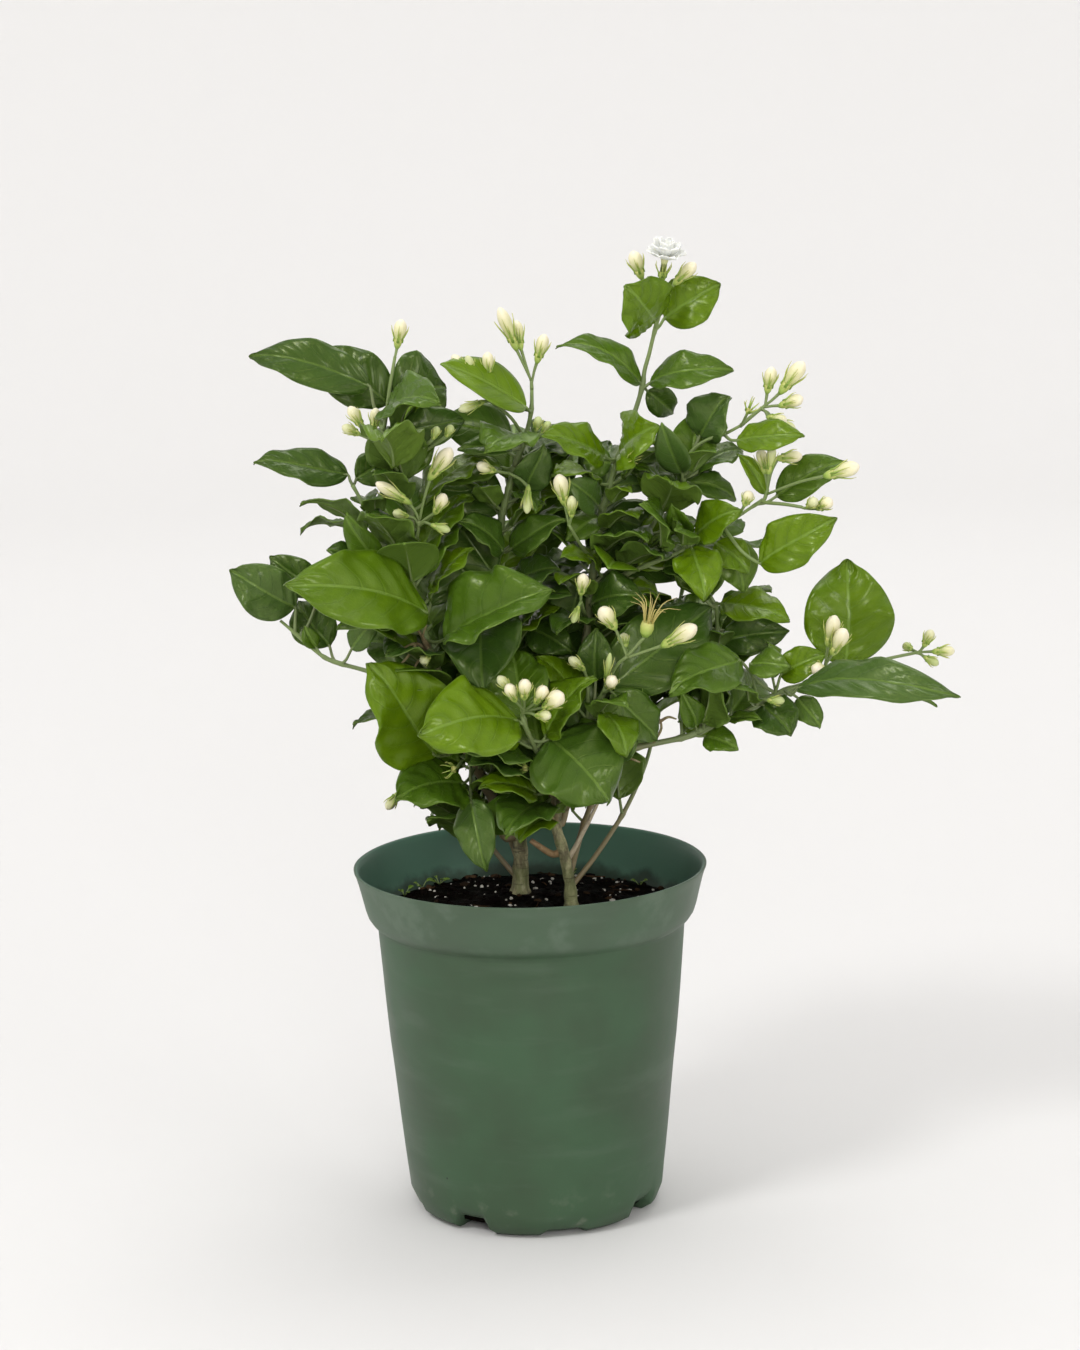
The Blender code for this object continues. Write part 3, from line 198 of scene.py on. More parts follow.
def pieceName(node):
    first, *rest = node.split("_")
    return first + "".join(word.capitalize() for word in rest)


# Materials are built from nodes, each from its own colours.

def addNode(tree, kind, inputs=None, **settings):
    node = tree.nodes.new("ShaderNode" + kind)
    for name, value in settings.items():
        setattr(node, name, value)
    for socket, value in (inputs or {}).items():
        if isinstance(value, bpy.types.NodeSocket):
            tree.links.new(value, node.inputs[socket])
        else:
            node.inputs[socket].default_value = value
    return node


def calc(tree, operation, *values, clamped=False):
    node = addNode(tree, "Math", dict(enumerate(values)), operation=operation, use_clamp=clamped)
    return node.outputs[0]


def times(tree, one, two):
    return calc(tree, "MULTIPLY", one, two)


def ranged(tree, value, low, high, toLow=0.0, toHigh=1.0):
    limits = {"Value": value, "From Min": low, "From Max": high, "To Min": toLow, "To Max": toHigh}
    return addNode(tree, "MapRange", limits, interpolation_type="SMOOTHSTEP").outputs["Result"]


def mixed(tree, share, one, two, blend="MIX"):
    node = tree.nodes.new("ShaderNodeMix")
    node.data_type = "RGBA"
    node.blend_type = blend
    for socket, value in ((0, share), (6, one), (7, two)):
        if isinstance(value, bpy.types.NodeSocket):
            tree.links.new(value, node.inputs[socket])
        else:
            node.inputs[socket].default_value = value if socket == 0 else (*value, 1)
    return node.outputs[2]


def readLook(tree, name):
    return addNode(tree, "Attribute", attribute_name=name).outputs["Fac"]


def objectPlace(tree, stretch=None):
    place = addNode(tree, "TexCoord").outputs["Object"]
    if stretch:
        place = addNode(tree, "Mapping", {"Vector": place, "Scale": stretch}).outputs["Vector"]
    return place


def noiseOn(tree, scale, detail=3.0, stretch=None, roughness=0.55):
    place = objectPlace(tree, stretch)
    inputs = {"Vector": place, "Scale": scale, "Detail": detail, "Roughness": roughness}
    return addNode(tree, "TexNoise", inputs).outputs["Fac"]


def ramp(tree, value, stops):
    node = addNode(tree, "ValToRGB", {"Fac": value})
    node.color_ramp.elements[0].position, node.color_ramp.elements[1].position = stops[0][0], stops[-1][0]
    node.color_ramp.elements[0].color = (*stops[0][1], 1)
    node.color_ramp.elements[1].color = (*stops[-1][1], 1)
    for place, colour in stops[1:-1]:
        node.color_ramp.elements.new(place).color = (*colour, 1)
    return node.outputs["Color"]


def newMaterial(name, **fixed):
    material = bpy.data.materials.new(name)
    material.use_nodes = True
    shader = material.node_tree.nodes["Principled BSDF"]
    for socket, value in fixed.items():
        shader.inputs[socket.replace("_", " ")].default_value = value
    return material, material.node_tree, shader


def feed(tree, shader, **sockets):
    for socket, value in sockets.items():
        tree.links.new(value, shader.inputs[socket.replace("_", " ")])


def setRelief(tree, shader, height, strength, distance):
    node = addNode(tree, "Bump", {"Height": height, "Strength": strength, "Distance": distance})
    feed(tree, shader, Normal=node.outputs["Normal"])


# Leaf colours. The grey colour is a painted sheen: the pale room reflected in a leaf.
leafLook = {
    "dark": (0.024, 0.058, 0.006), "low": (0.036, 0.080, 0.005), "mid": (0.048, 0.103, 0.003),
    "bright": (0.071, 0.137, 0.001), "fresh": (0.096, 0.172, 0.002), "grey": (0.066, 0.112, 0.038),
    "under": (0.092, 0.152, 0.026), "vein": (0.165, 0.265, 0.045), "spot": (0.16, 0.15, 0.05),
    "sheen": (0.80, 0.92, 0.22, 1), "coat": 0.26, "topRoughness": 0.31, "underRoughness": 0.6,
    "veins": 5.6, "slant": 1.7, "veinBend": 1.35, "stagger": 0.35,  # how the side veins leave the midrib
    "drift": 0.34, "swell": 0.16,  # how far a leaf's tone wanders over it, and between its veins
    "midribShare": 0.55, "sideShare": 0.14, "netShare": 0.06, "marginShare": 0.35, "spotShare": 0.35,
    "netScale": 620.0, "relief": 0.55, "reliefDepth": 0.0004,
}


def makeLeafMaterial():
    look = leafLook
    material, tree, shader = newMaterial(
        "leafGreen", Coat_Weight=look["coat"], Coat_Roughness=0.23, Specular_IOR_Level=0.32,
        Specular_Tint=look["sheen"],
    )
    along, across = readLook(tree, "along"), readLook(tree, "across")
    tone, under = readLook(tree, "tone"), readLook(tree, "under")
    offset, outward = calc(tree, "ABSOLUTE", readLook(tree, "offset")), calc(tree, "ABSOLUTE", across)
    # Side veins leave the midrib at a slant and bend towards the tip near the margin.
    half = calc(tree, "GREATER_THAN", across, 0.0)
    run = calc(tree, "MULTIPLY_ADD", along, look["veins"], times(tree, half, look["stagger"]))
    run = calc(tree, "MULTIPLY_ADD", calc(tree, "POWER", outward, look["veinBend"]), -look["slant"], run)
    run = calc(tree, "ADD", run, times(tree, noiseOn(tree, 130.0, 2.0), 0.30))
    near = calc(tree, "ABSOLUTE", calc(tree, "SUBTRACT", calc(tree, "FRACT", run), 0.5))
    sideVein = times(tree, ranged(tree, near, 0.075, 0.0), ranged(tree, outward, 0.97, 0.55))
    midrib = ranged(tree, offset, 0.95, 0.35)
    cells = {"Vector": objectPlace(tree), "Scale": look["netScale"]}
    net = addNode(tree, "TexVoronoi", cells, feature="DISTANCE_TO_EDGE").outputs["Distance"]
    net = ranged(tree, net, 0.10, 0.0)
    # Colour: each leaf's tone, partly its own colour and partly painted light and shade, drifting over the
    # blade and lighter between its veins.
    drift = calc(tree, "MULTIPLY_ADD", noiseOn(tree, 55.0, 3.0), look["drift"], -look["drift"] / 2)
    swell = times(tree, calc(tree, "SUBTRACT", near, 0.25), look["swell"])
    shade = calc(tree, "ADD", calc(tree, "ADD", tone, drift), swell, clamped=True)
    colour = ramp(tree, shade, [
        (0.0, look["dark"]), (0.22, look["low"]), (0.5, look["mid"]), (0.85, look["bright"]),
        (1.0, look["fresh"]),
    ])
    # Painted sheen: the grey share pales a leaf towards the grey colour, standing in for the room reflected
    # in it.
    colour = mixed(tree, readLook(tree, "grey"), colour, look["grey"])
    fine = calc(tree, "MAXIMUM", times(tree, sideVein, look["sideShare"]), times(tree, net, look["netShare"]))
    veinShare = calc(tree, "MAXIMUM", times(tree, midrib, look["midribShare"]), fine)
    veinShare = times(tree, veinShare, ranged(tree, tone, -0.3, 0.9, 0.35, 1.0))
    colour = mixed(tree, veinShare, colour, look["vein"])
    margin = times(tree, ranged(tree, outward, 0.955, 1.0), look["marginShare"])
    colour = mixed(tree, margin, colour, look["vein"])
    colour = mixed(tree, times(tree, under, ranged(tree, tone, 0.0, 1.0, 0.55, 0.75)), colour, look["under"])
    spots = ranged(tree, noiseOn(tree, 420.0, 2.0), 0.74, 0.82)
    colour = mixed(tree, times(tree, spots, look["spotShare"]), colour, look["spot"])
    rough = calc(tree, "MULTIPLY_ADD", noiseOn(tree, 90.0, 4.0), 0.16, look["topRoughness"] - 0.08)
    rough = calc(tree, "ADD", rough, times(tree, under, look["underRoughness"] - look["topRoughness"]))
    feed(tree, shader, Base_Color=colour, Roughness=rough)
    height = calc(tree, "MULTIPLY_ADD", sideVein, -0.7, times(tree, midrib, -0.9))
    height = times(tree, height, calc(tree, "MULTIPLY_ADD", under, -2.0, 1.0))  # veins stand out underneath
    height = calc(tree, "ADD", height, times(tree, net, -0.14))
    height = calc(tree, "ADD", height, times(tree, noiseOn(tree, 240.0, 3.0), 0.28))
    setRelief(tree, shader, height, look["relief"], look["reliefDepth"])
    return material


stemLook = {
    "wood": (0.180, 0.110, 0.055), "woodyGreen": (0.190, 0.165, 0.080), "dullGreen": (0.125, 0.180, 0.055),
    "freshGreen": (0.150, 0.235, 0.052), "streak": (0.26, 0.25, 0.14), "streakShare": 0.35,
}


def makeStemMaterial():  # tone runs from brown wood at 0 to fresh green at 1
    look = stemLook
    material, tree, shader = newMaterial("stemSkin")
    drift = calc(tree, "MULTIPLY_ADD", noiseOn(tree, 160.0, 3.0), 0.4, -0.2)
    colour = ramp(tree, calc(tree, "ADD", readLook(tree, "tone"), drift, clamped=True), [
        (0.0, look["wood"]), (0.3, look["woodyGreen"]), (0.6, look["dullGreen"]), (1.0, look["freshGreen"]),
    ])
    streak = noiseOn(tree, 60.0, 4.0, (6.0, 6.0, 0.8))
    colour = mixed(tree, times(tree, streak, look["streakShare"]), colour, look["streak"])
    feed(tree, shader, Base_Color=colour, Roughness=ranged(tree, streak, 0.2, 0.8, 0.42, 0.7))
    setRelief(tree, shader, streak, 0.5, 0.0004)
    return material


barkLook = {
    "crack": (0.040, 0.034, 0.016), "dull": (0.150, 0.132, 0.066), "ridge": (0.340, 0.315, 0.170),
    "worn": (0.640, 0.600, 0.430), "moss": (0.150, 0.195, 0.055), "scar": (0.030, 0.026, 0.014),
    "warm": (0.290, 0.160, 0.070), "pale": (0.480, 0.400, 0.280),
    "mossShare": 0.45, "scarShare": 0.55, "warmShare": 0.75, "paleShare": 0.8, "reliefDepth": 0.0014,
}


def makeBarkMaterial():  # tone warms the wood and grey pales it
    look = barkLook
    material, tree, shader = newMaterial("woodyBark")
    ridges = noiseOn(tree, 330.0, 6.0, (1.0, 1.0, 0.30), 0.65)
    patches = noiseOn(tree, 75.0, 4.0)
    scars = noiseOn(tree, 210.0, 3.0, (0.4, 0.4, 3.0))
    colour = ramp(tree, ridges, [
        (0.28, look["crack"]), (0.45, look["dull"]), (0.60, look["ridge"]), (0.78, look["worn"]),
    ])
    shares = {
        "moss": ranged(tree, patches, 0.42, 0.60), "scar": ranged(tree, scars, 0.56, 0.66),
        "warm": readLook(tree, "tone"), "pale": readLook(tree, "grey"),
    }
    for name, share in shares.items():
        colour = mixed(tree, times(tree, share, look[name + "Share"]), colour, look[name])
    feed(tree, shader, Base_Color=colour, Roughness=ranged(tree, ridges, 0.2, 0.8, 0.6, 0.9))
    pores = addNode(tree, "TexVoronoi", {"Vector": objectPlace(tree, (1.0, 1.0, 2.2)), "Scale": 420.0})
    pores = ranged(tree, pores.outputs["Distance"], 0.25, 0.1)
    setRelief(tree, shader, calc(tree, "ADD", ridges, times(tree, pores, 0.4)), 1.0, look["reliefDepth"])
    return material


def makeBudMaterial(name, foot, body, tip, roughness):
    # Petals and calyx: tone runs from green and young at 0 to ripe at 1, and along from foot to tip.
    material, tree, shader = newMaterial(name, Subsurface_Weight=0.12, Subsurface_Scale=0.002,
                                         Subsurface_Radius=(1.0, 0.9, 0.5))
    blotch = calc(tree, "MULTIPLY_ADD", noiseOn(tree, 300.0, 3.0), 0.3, -0.15)
    place = calc(tree, "ADD", readLook(tree, "along"), blotch, clamped=True)
    colour = ramp(tree, place, [(0.1, foot), (0.45, body), (0.95, tip)])
    young = calc(tree, "MULTIPLY_ADD", readLook(tree, "tone"), -0.8, 0.8)
    colour = mixed(tree, young, colour, budForm["young"])
    fibre = noiseOn(tree, 500.0, 3.0)
    rough = ranged(tree, fibre, 0.2, 0.8, roughness - 0.06, roughness + 0.08)
    feed(tree, shader, Base_Color=colour, Roughness=rough)
    setRelief(tree, shader, fibre, 0.25, 0.0002)
    return material


# Pot: one shell turned round its axis, with its foot pressed into grooves.
potShape = {
    "outside": [(0, 0), (30, 0), (44, 0), (52, 0), (57, 3), (59.4, 9), (61.5, 28), (64.2, 54), (67, 80),
                (69.2, 106), (71.1, 130.0), (71.5, 136.6), (72.0, 137.3), (74.3, 138.9), (76.1, 141.6),
                (77.2, 145), (78.7, 151.4), (80.1, 157.0), (81.1, 160.4), (81.9, 162.3), (82.0, 162.9),
                (81.6, 163.2), (80.8, 163.1)],
    "wall": 1.8, "floor": 4.2, "segments": 240, "step": 2.6,
    # Grooves under the foot: their angles from the front, their width and their height.
    "deep": ((-32, 58, 148, 238), 16.0, 6.5), "shallow": ((13, 103, 193, 283), 18.0, 2.0),
    "drainHole": 3.5, "drainPlace": 46.0, "sharpAngle": 38, "insideLip": [(80.1, 162.5), (79.1, 160.0)],
    # Dents in the wall as (angle from the front, height, half width across, half height, depth).
    "dents": [(10, 125, 24, 2.6, 1.15), (-22, 121, 16, 3.0, 0.35), (30, 116, 22, 5.0, 0.4),
              (160, 122, 34, 4.0, 0.6), (-60, 100, 20, 12.0, 0.35), (75, 60, 18, 20.0, 0.35),
              (215, 80, 22, 22.0, 0.4)],
}
# worn is the pale plastic: real wear in the streaks and chalky patches, and painted light on the band.
plasticLook = {
    "body": (0.038, 0.083, 0.039), "deep": (0.034, 0.064, 0.031), "worn": (0.098, 0.137, 0.096),
    # inside is painted light: a paler, bluer copy of the plastic for the shaded inner wall
    "inside": (0.075, 0.165, 0.112), "dust": (0.200, 0.210, 0.160), "speck": (0.012, 0.018, 0.012),
    "grime": (0.014, 0.020, 0.012),
    "flowShare": 0.22, "chalkShare": 0.4, "litBandShare": 0.30, "dustShare": 0.5, "lowInnerDarkShare": 0.8,
    "band": (0.1370, 0.1425), "chalk": (0.134, 0.146), "splash": (0.03, 0.0), "soilLine": (0.1555, 0.1490),
}


def makePotMaterial():
    look = plasticLook
    material, tree, shader = newMaterial("pressedPlastic", Specular_IOR_Level=0.35)
    height = addNode(tree, "SeparateXYZ", {"Vector": objectPlace(tree)}).outputs["Z"]
    inner = readLook(tree, "inner")
    cloud = noiseOn(tree, 22.0, 3.0)
    colour = mixed(tree, ranged(tree, cloud, 0.32, 0.68), look["deep"], look["body"])
    flow = ranged(tree, noiseOn(tree, 16.0, 4.0, (1.0, 1.0, 5.0)), 0.5, 0.75)
    colour = mixed(tree, times(tree, flow, look["flowShare"]), colour, look["worn"])
    chalk = ranged(tree, noiseOn(tree, 48.0, 5.0), 0.5, 0.68)  # painted light: the band is painted paler for the light it catches, and it is chalky in patches
    chalk = times(tree, chalk, ranged(tree, height, *look["chalk"]))
    band = times(tree, ranged(tree, height, *look["band"]), look["litBandShare"])
    colour = mixed(tree, calc(tree, "MULTIPLY_ADD", chalk, look["chalkShare"], band), colour, look["worn"])
    splash = ranged(tree, noiseOn(tree, 90.0, 6.0), 0.55, 0.72)
    splash = times(tree, splash, ranged(tree, height, *look["splash"]))
    colour = mixed(tree, times(tree, splash, look["dustShare"]), colour, look["dust"])
    dots = addNode(tree, "TexVoronoi", {"Vector": objectPlace(tree), "Scale": 75.0})
    chance = addNode(tree, "SeparateColor", {"Color": dots.outputs["Color"]}).outputs["Red"]
    speck = ranged(tree, dots.outputs["Distance"], 0.055, 0.035)
    speck = times(tree, speck, calc(tree, "GREATER_THAN", chance, 0.93))
    colour = mixed(tree, speck, colour, look["speck"])
    # Painted light: the shaded inner wall takes the paler, bluer inside colour.
    colour = mixed(tree, inner, colour, look["inside"])
    # The inner wall darkens downwards from a ragged line near the soil.
    grime = calc(tree, "MULTIPLY_ADD", noiseOn(tree, 70.0, 5.0), 0.016, height)
    grime = times(tree, ranged(tree, grime, *look["soilLine"]), inner)
    colour = mixed(tree, times(tree, grime, look["lowInnerDarkShare"]), colour, look["grime"])
    feed(tree, shader, Base_Color=colour, Roughness=ranged(tree, cloud, 0.2, 0.8, 0.40, 0.56))
    scuffs = noiseOn(tree, 140.0, 5.0, (1.0, 1.0, 3.5))
    setRelief(tree, shader, calc(tree, "MULTIPLY_ADD", noiseOn(tree, 900.0, 2.0), 0.25, scuffs), 0.16, 0.0003)
    return material


def turnedShell(outline, segments):
    bm = bmesh.new()
    verts = [bm.verts.new((radius * mm, 0, height * mm)) for radius, height in outline]
    edges = [bm.edges.new(pair) for pair in zip(verts, verts[1:])]
    bmesh.ops.spin(bm, geom=verts + edges, axis=(0, 0, 1), cent=(0, 0, 0), angle=2 * math.pi, steps=segments,
                   use_merge=True)
    bmesh.ops.remove_doubles(bm, verts=bm.verts, dist=0.00001)
    bmesh.ops.recalc_face_normals(bm, faces=bm.faces)
    return bm


def stepped(outline, step):  # the same outline with more points on its long runs
    points = [outline[0]]
    for a, b in zip(outline, outline[1:]):
        count = max(1, round(math.dist(a, b) / step))
        for part in range(1, count + 1):
            points.append((a[0] + (b[0] - a[0]) * part / count, a[1] + (b[1] - a[1]) * part / count))
    return points


def grooveLift(angle, radius, centres, width, height):
    lift = 0.0
    for centre in centres:
        away = abs((angle - centre + 180) % 360 - 180)
        across = radius * math.sin(math.radians(min(away, 90)))
        lift = max(lift, height * (1 - softStep(width / 2 - 2.0, width / 2 + 2.2, across)))
    return lift


def outerRadius(height):
    for (lowRadius, low), (highRadius, high) in zip(potShape["outside"][3:], potShape["outside"][4:]):
        if low <= height <= high:
            return lowRadius + (highRadius - lowRadius) * (height - low) / max(high - low, 1e-6)
    return potShape["outside"][-2][0]


def makePot():
    outside, floor = potShape["outside"], potShape["floor"]
    wall = [(radius - potShape["wall"], height) for radius, height in outside[5:-5]]
    inside = potShape["insideLip"] + wall[::-1]
    foot = [(inside[-1][0] - 3.0, floor), (30, floor), (0, floor)]
    bm = turnedShell(stepped(outside + inside + foot, potShape["step"]), potShape["segments"])
    inner = bm.verts.layers.float.new("inner")
    for vert in bm.verts:
        x, y, z = vert.co / mm
        radius = math.hypot(x, y)
        vert[inner] = float(z > 4 and radius < outerRadius(z) - potShape["wall"] / 2)
        angle = math.degrees(math.atan2(x, -y))  # from the front of the pot
        lift = grooveLift(angle, radius, *potShape["deep"])
        lift = max(lift, softStep(43, 46, radius) * grooveLift(angle, radius, *potShape["shallow"]))
        z += lift * softStep(34, 40, radius) * (1 - softStep(0.0, 22.0, z) ** 0.8)
        if z > 15 and radius > 50:
            press = 0.0
            for turn, height, halfWidth, halfHeight, depth in potShape["dents"]:
                away = (angle - turn + 180) % 360 - 180
                press += depth * bump(away, 0, halfWidth) * bump(z, height, halfHeight)
            press += 0.18 * noise.noise(Vector((x, y, z)) * 0.035)
            x, y = x * (1 - press / radius), y * (1 - press / radius)
        vert.co = Vector((x, y, z)) * mm
    pot = finishPiece("nurseryPot", bm, [makePotMaterial()], "pot", sharp=potShape["sharpAngle"])
    cutters = bpy.data.collections.new("drainCutters")
    for index, angle in enumerate(potShape["deep"][0]):
        turn = math.radians(angle - 90)
        place = Vector((math.cos(turn), math.sin(turn), 0)) * potShape["drainPlace"] + Vector((0, 0, 8))
        drill = bmesh.new()
        bore = potShape["drainHole"] * mm
        bmesh.ops.create_cone(drill, cap_ends=True, segments=24, radius1=bore, radius2=bore, depth=24 * mm,
                              matrix=Matrix.Translation(place * mm))
        mesh = bpy.data.meshes.new(f"drill{index}")
        drill.to_mesh(mesh)
        drill.free()
        cutters.objects.link(bpy.data.objects.new(f"drill{index}", mesh))
    cut = pot.modifiers.new("drains", "BOOLEAN")
    cut.operation, cut.solver, cut.operand_type, cut.collection = "DIFFERENCE", "EXACT", "COLLECTION", cutters
    bakeModifiers(pot)
    for drill in list(cutters.objects):
        bpy.data.objects.remove(drill)
    bpy.data.collections.remove(cutters)


def bakeModifiers(piece):
    graph = bpy.context.evaluated_depsgraph_get()
    mesh = bpy.data.meshes.new_from_object(piece.evaluated_get(graph))
    piece.modifiers.clear()
    piece.data = mesh


makePot()
print("pot made")


# Mix: a dark crumbly bed with bark bits, perlite and bits of twig.
mixShape = {
    "wall": [(0, 4.5), (52, 4.5), (54.3, 8.5), (57.3, 9.3), (64.9, 80), (68.6, 130), (69.4, 136.6),
             (71.4, 139), (72.6, 140)],
    "top": [(62, 142.6), (34, 145.2), (0, 146)], "shoulder": (62, 142.6), "slope": 0.2, "heap": 3.4,
    "rough": 1.5, "sunk": 1.2, "segments": 150,
    "barkBits": 420, "perlite": 170, "twigs": 26, "barkSize": (0.8, 2.6), "perliteSize": (0.45, 1.3),
    "twigLength": (2.5, 6.5), "twigRadii": (0.25, 0.4, 0.35, 0.15), "spread": 73, "twigSpread": 68,
}
mixLook = {
    "soil": [(0.3, (0.001, 0.001, 0.001)), (0.55, (0.003, 0.002, 0.001)), (0.8, (0.012, 0.008, 0.005))],
    "crumb": [(0.0, (0.002, 0.001, 0.001)), (0.7, (0.006, 0.004, 0.003)), (1.0, (0.070, 0.040, 0.020))],
    "perlite": [(0.25, (0.16, 0.14, 0.11)), (0.5, (0.50, 0.48, 0.42)), (0.75, (0.72, 0.70, 0.64))],
    "fibre": (0.006, 0.004, 0.003),
}


def makeMixMaterials():
    soil, tree, shader = newMaterial("pottingMix", Specular_IOR_Level=0.02)
    lumps = noiseOn(tree, 260.0, 6.0, roughness=0.7)
    feed(tree, shader, Base_Color=ramp(tree, lumps, mixLook["soil"]),
         Roughness=ranged(tree, noiseOn(tree, 90.0, 3.0), 0.3, 0.7, 0.55, 0.95))
    setRelief(tree, shader, lumps, 1.0, 0.003)
    crumb, tree, shader = newMaterial("barkCrumb", Specular_IOR_Level=0.03)
    fibre = noiseOn(tree, 420.0, 5.0)
    colour = ramp(tree, readLook(tree, "tone"), mixLook["crumb"])
    colour = mixed(tree, ranged(tree, fibre, 0.3, 0.8, 0.0, 0.4), colour, mixLook["fibre"])
    feed(tree, shader, Base_Color=colour, Roughness=ranged(tree, fibre, 0.2, 0.8, 0.6, 0.95))
    setRelief(tree, shader, fibre, 0.8, 0.0008)
    perlite, tree, shader = newMaterial("whitePerlite")
    pores = noiseOn(tree, 700.0, 4.0)
    feed(tree, shader, Base_Color=ramp(tree, pores, mixLook["perlite"]),
         Roughness=ranged(tree, pores, 0.2, 0.8, 0.7, 0.95))
    setRelief(tree, shader, pores, 1.0, 0.0006)
    return soil, crumb, perlite


def mixHeight(x, y):
    radius = math.hypot(x, y)
    shoulder, height = mixShape["shoulder"]
    if radius > shoulder:
        level = height - mixShape["slope"] * (radius - shoulder)
    else:
        level = height + mixShape["heap"] * (1 - (radius / shoulder) ** 1.6)
    ripple = noise.fractal(Vector((x, y, 3.0)) * 0.07, 0.8, 2.2, 4) * mixShape["rough"]
    return level - mixShape["sunk"] + ripple * (1 - softStep(70, 75, radius))


def makeMix(materials):
    soil, crumb, perlite = materials
    bm = turnedShell(stepped(mixShape["wall"], 6.0) + stepped(mixShape["top"], 1.6), mixShape["segments"])
    for vert in bm.verts:
        x, y, z = vert.co / mm
        if z > 139.5:
            vert.co.z = mixHeight(x, y) * mm
    finishPiece("mix", bm, [soil], "soil").data.shade_smooth()
    dice = random.Random(7)
    bm, layers = newMesh()
    for index in range(mixShape["barkBits"] + mixShape["perlite"]):
        white = index >= mixShape["barkBits"]
        radius = mixShape["spread"] * math.sqrt(dice.random())
        turn = dice.uniform(0, 2 * math.pi)
        x, y = radius * math.cos(turn), radius * math.sin(turn)
        size = dice.uniform(*mixShape["perliteSize" if white else "barkSize"])
        made = bmesh.ops.create_icosphere(bm, subdivisions=1, radius=size * mm)["verts"]
        tallest = 0.95 if white else 0.7
        squash = Vector((dice.uniform(0.6, 1.5), dice.uniform(0.5, 1.0), dice.uniform(0.3, tallest)))
        spin = Matrix.Rotation(dice.uniform(0, 6.28), 3, "Z")
        spin = spin @ Matrix.Rotation(dice.uniform(-0.6, 0.6), 3, "X")
        tone = dice.random() ** 1.6
        for vert in made:
            jitter = 1 + 0.35 * noise.noise(vert.co / mm * 1.7 + Vector((index, 0, 0)))
            local = spin @ Vector((vert.co[axis] * squash[axis] * jitter for axis in range(3)))
            vert.co = local + Vector((x, y, mixHeight(x, y) + size * 0.15)) * mm
        paint(made, layers, tone=tone)
        for face in {face for vert in made for face in vert.link_faces}:
            face.material_index = 1 if white else 0
            face.smooth = dice.random() < 0.5
    for index in range(mixShape["twigs"]):
        radius = mixShape["twigSpread"] * math.sqrt(dice.random())
        turn, lie = dice.uniform(0, 6.28), dice.uniform(0, 6.28)
        x, y = radius * math.cos(turn), radius * math.sin(turn)
        long = dice.uniform(*mixShape["twigLength"])
        line = []
        for share in (-1.0, -0.3, 0.4, 1.0):
            px, py = x + long * share * math.cos(lie), y + long * share * math.sin(lie + 0.3 * share)
            line.append(Vector((px, py, mixHeight(px, py) + 0.5)) * mm)
        radii = [girth * mm for girth in mixShape["twigRadii"]]
        addTube(bm, layers, line, radii, 5, tone=dice.uniform(0.6, 1.0))
    finishPiece("mixCrumbs", bm, [crumb, perlite])


makeMix(makeMixMaterials())
print("potting mix made")


# Plant: the stems, leaves and buds in front were read from the photograph, and the rear ones are guessed.
# A leaf is its base, its tip, its width, how its face turns and lifts, its arch, its fold and its tone, which
# is partly the leaf's own colour and partly painted light and shade. A few leaves end with a pose: how far
# the face rises, the fold and the width that the photograph shows.
trunks = {
    "trunk_left": {
        "path": [(-4.7, 12, 128), (-4.7, 12, 150), (-4.2, 11.5, 166), (-5, 10, 181)],
        "radius": (3.6, 2.9),
        "side": [],
    },
    "trunk_right": {
        "path": [(19, -9, 128), (18.6, -9, 150), (17, -8.5, 162), (15.3, -7.5, 170), (12.5, -6, 181),
                 (13.5, -5, 193)],
        "radius": (2.6, 2.1),
        "side": [
            {"path": [(17, -8.5, 163), (21, -7, 170), (27, -5, 181), (33, -3, 193)],
             "radius": (1.1, 0.6)},
            {"path": [(15.5, -7.5, 169), (11, -7, 167), (6, -6.5, 170), (0.5, -6, 174)],
             "radius": (1.6, 1.0)},
        ],
    },
}

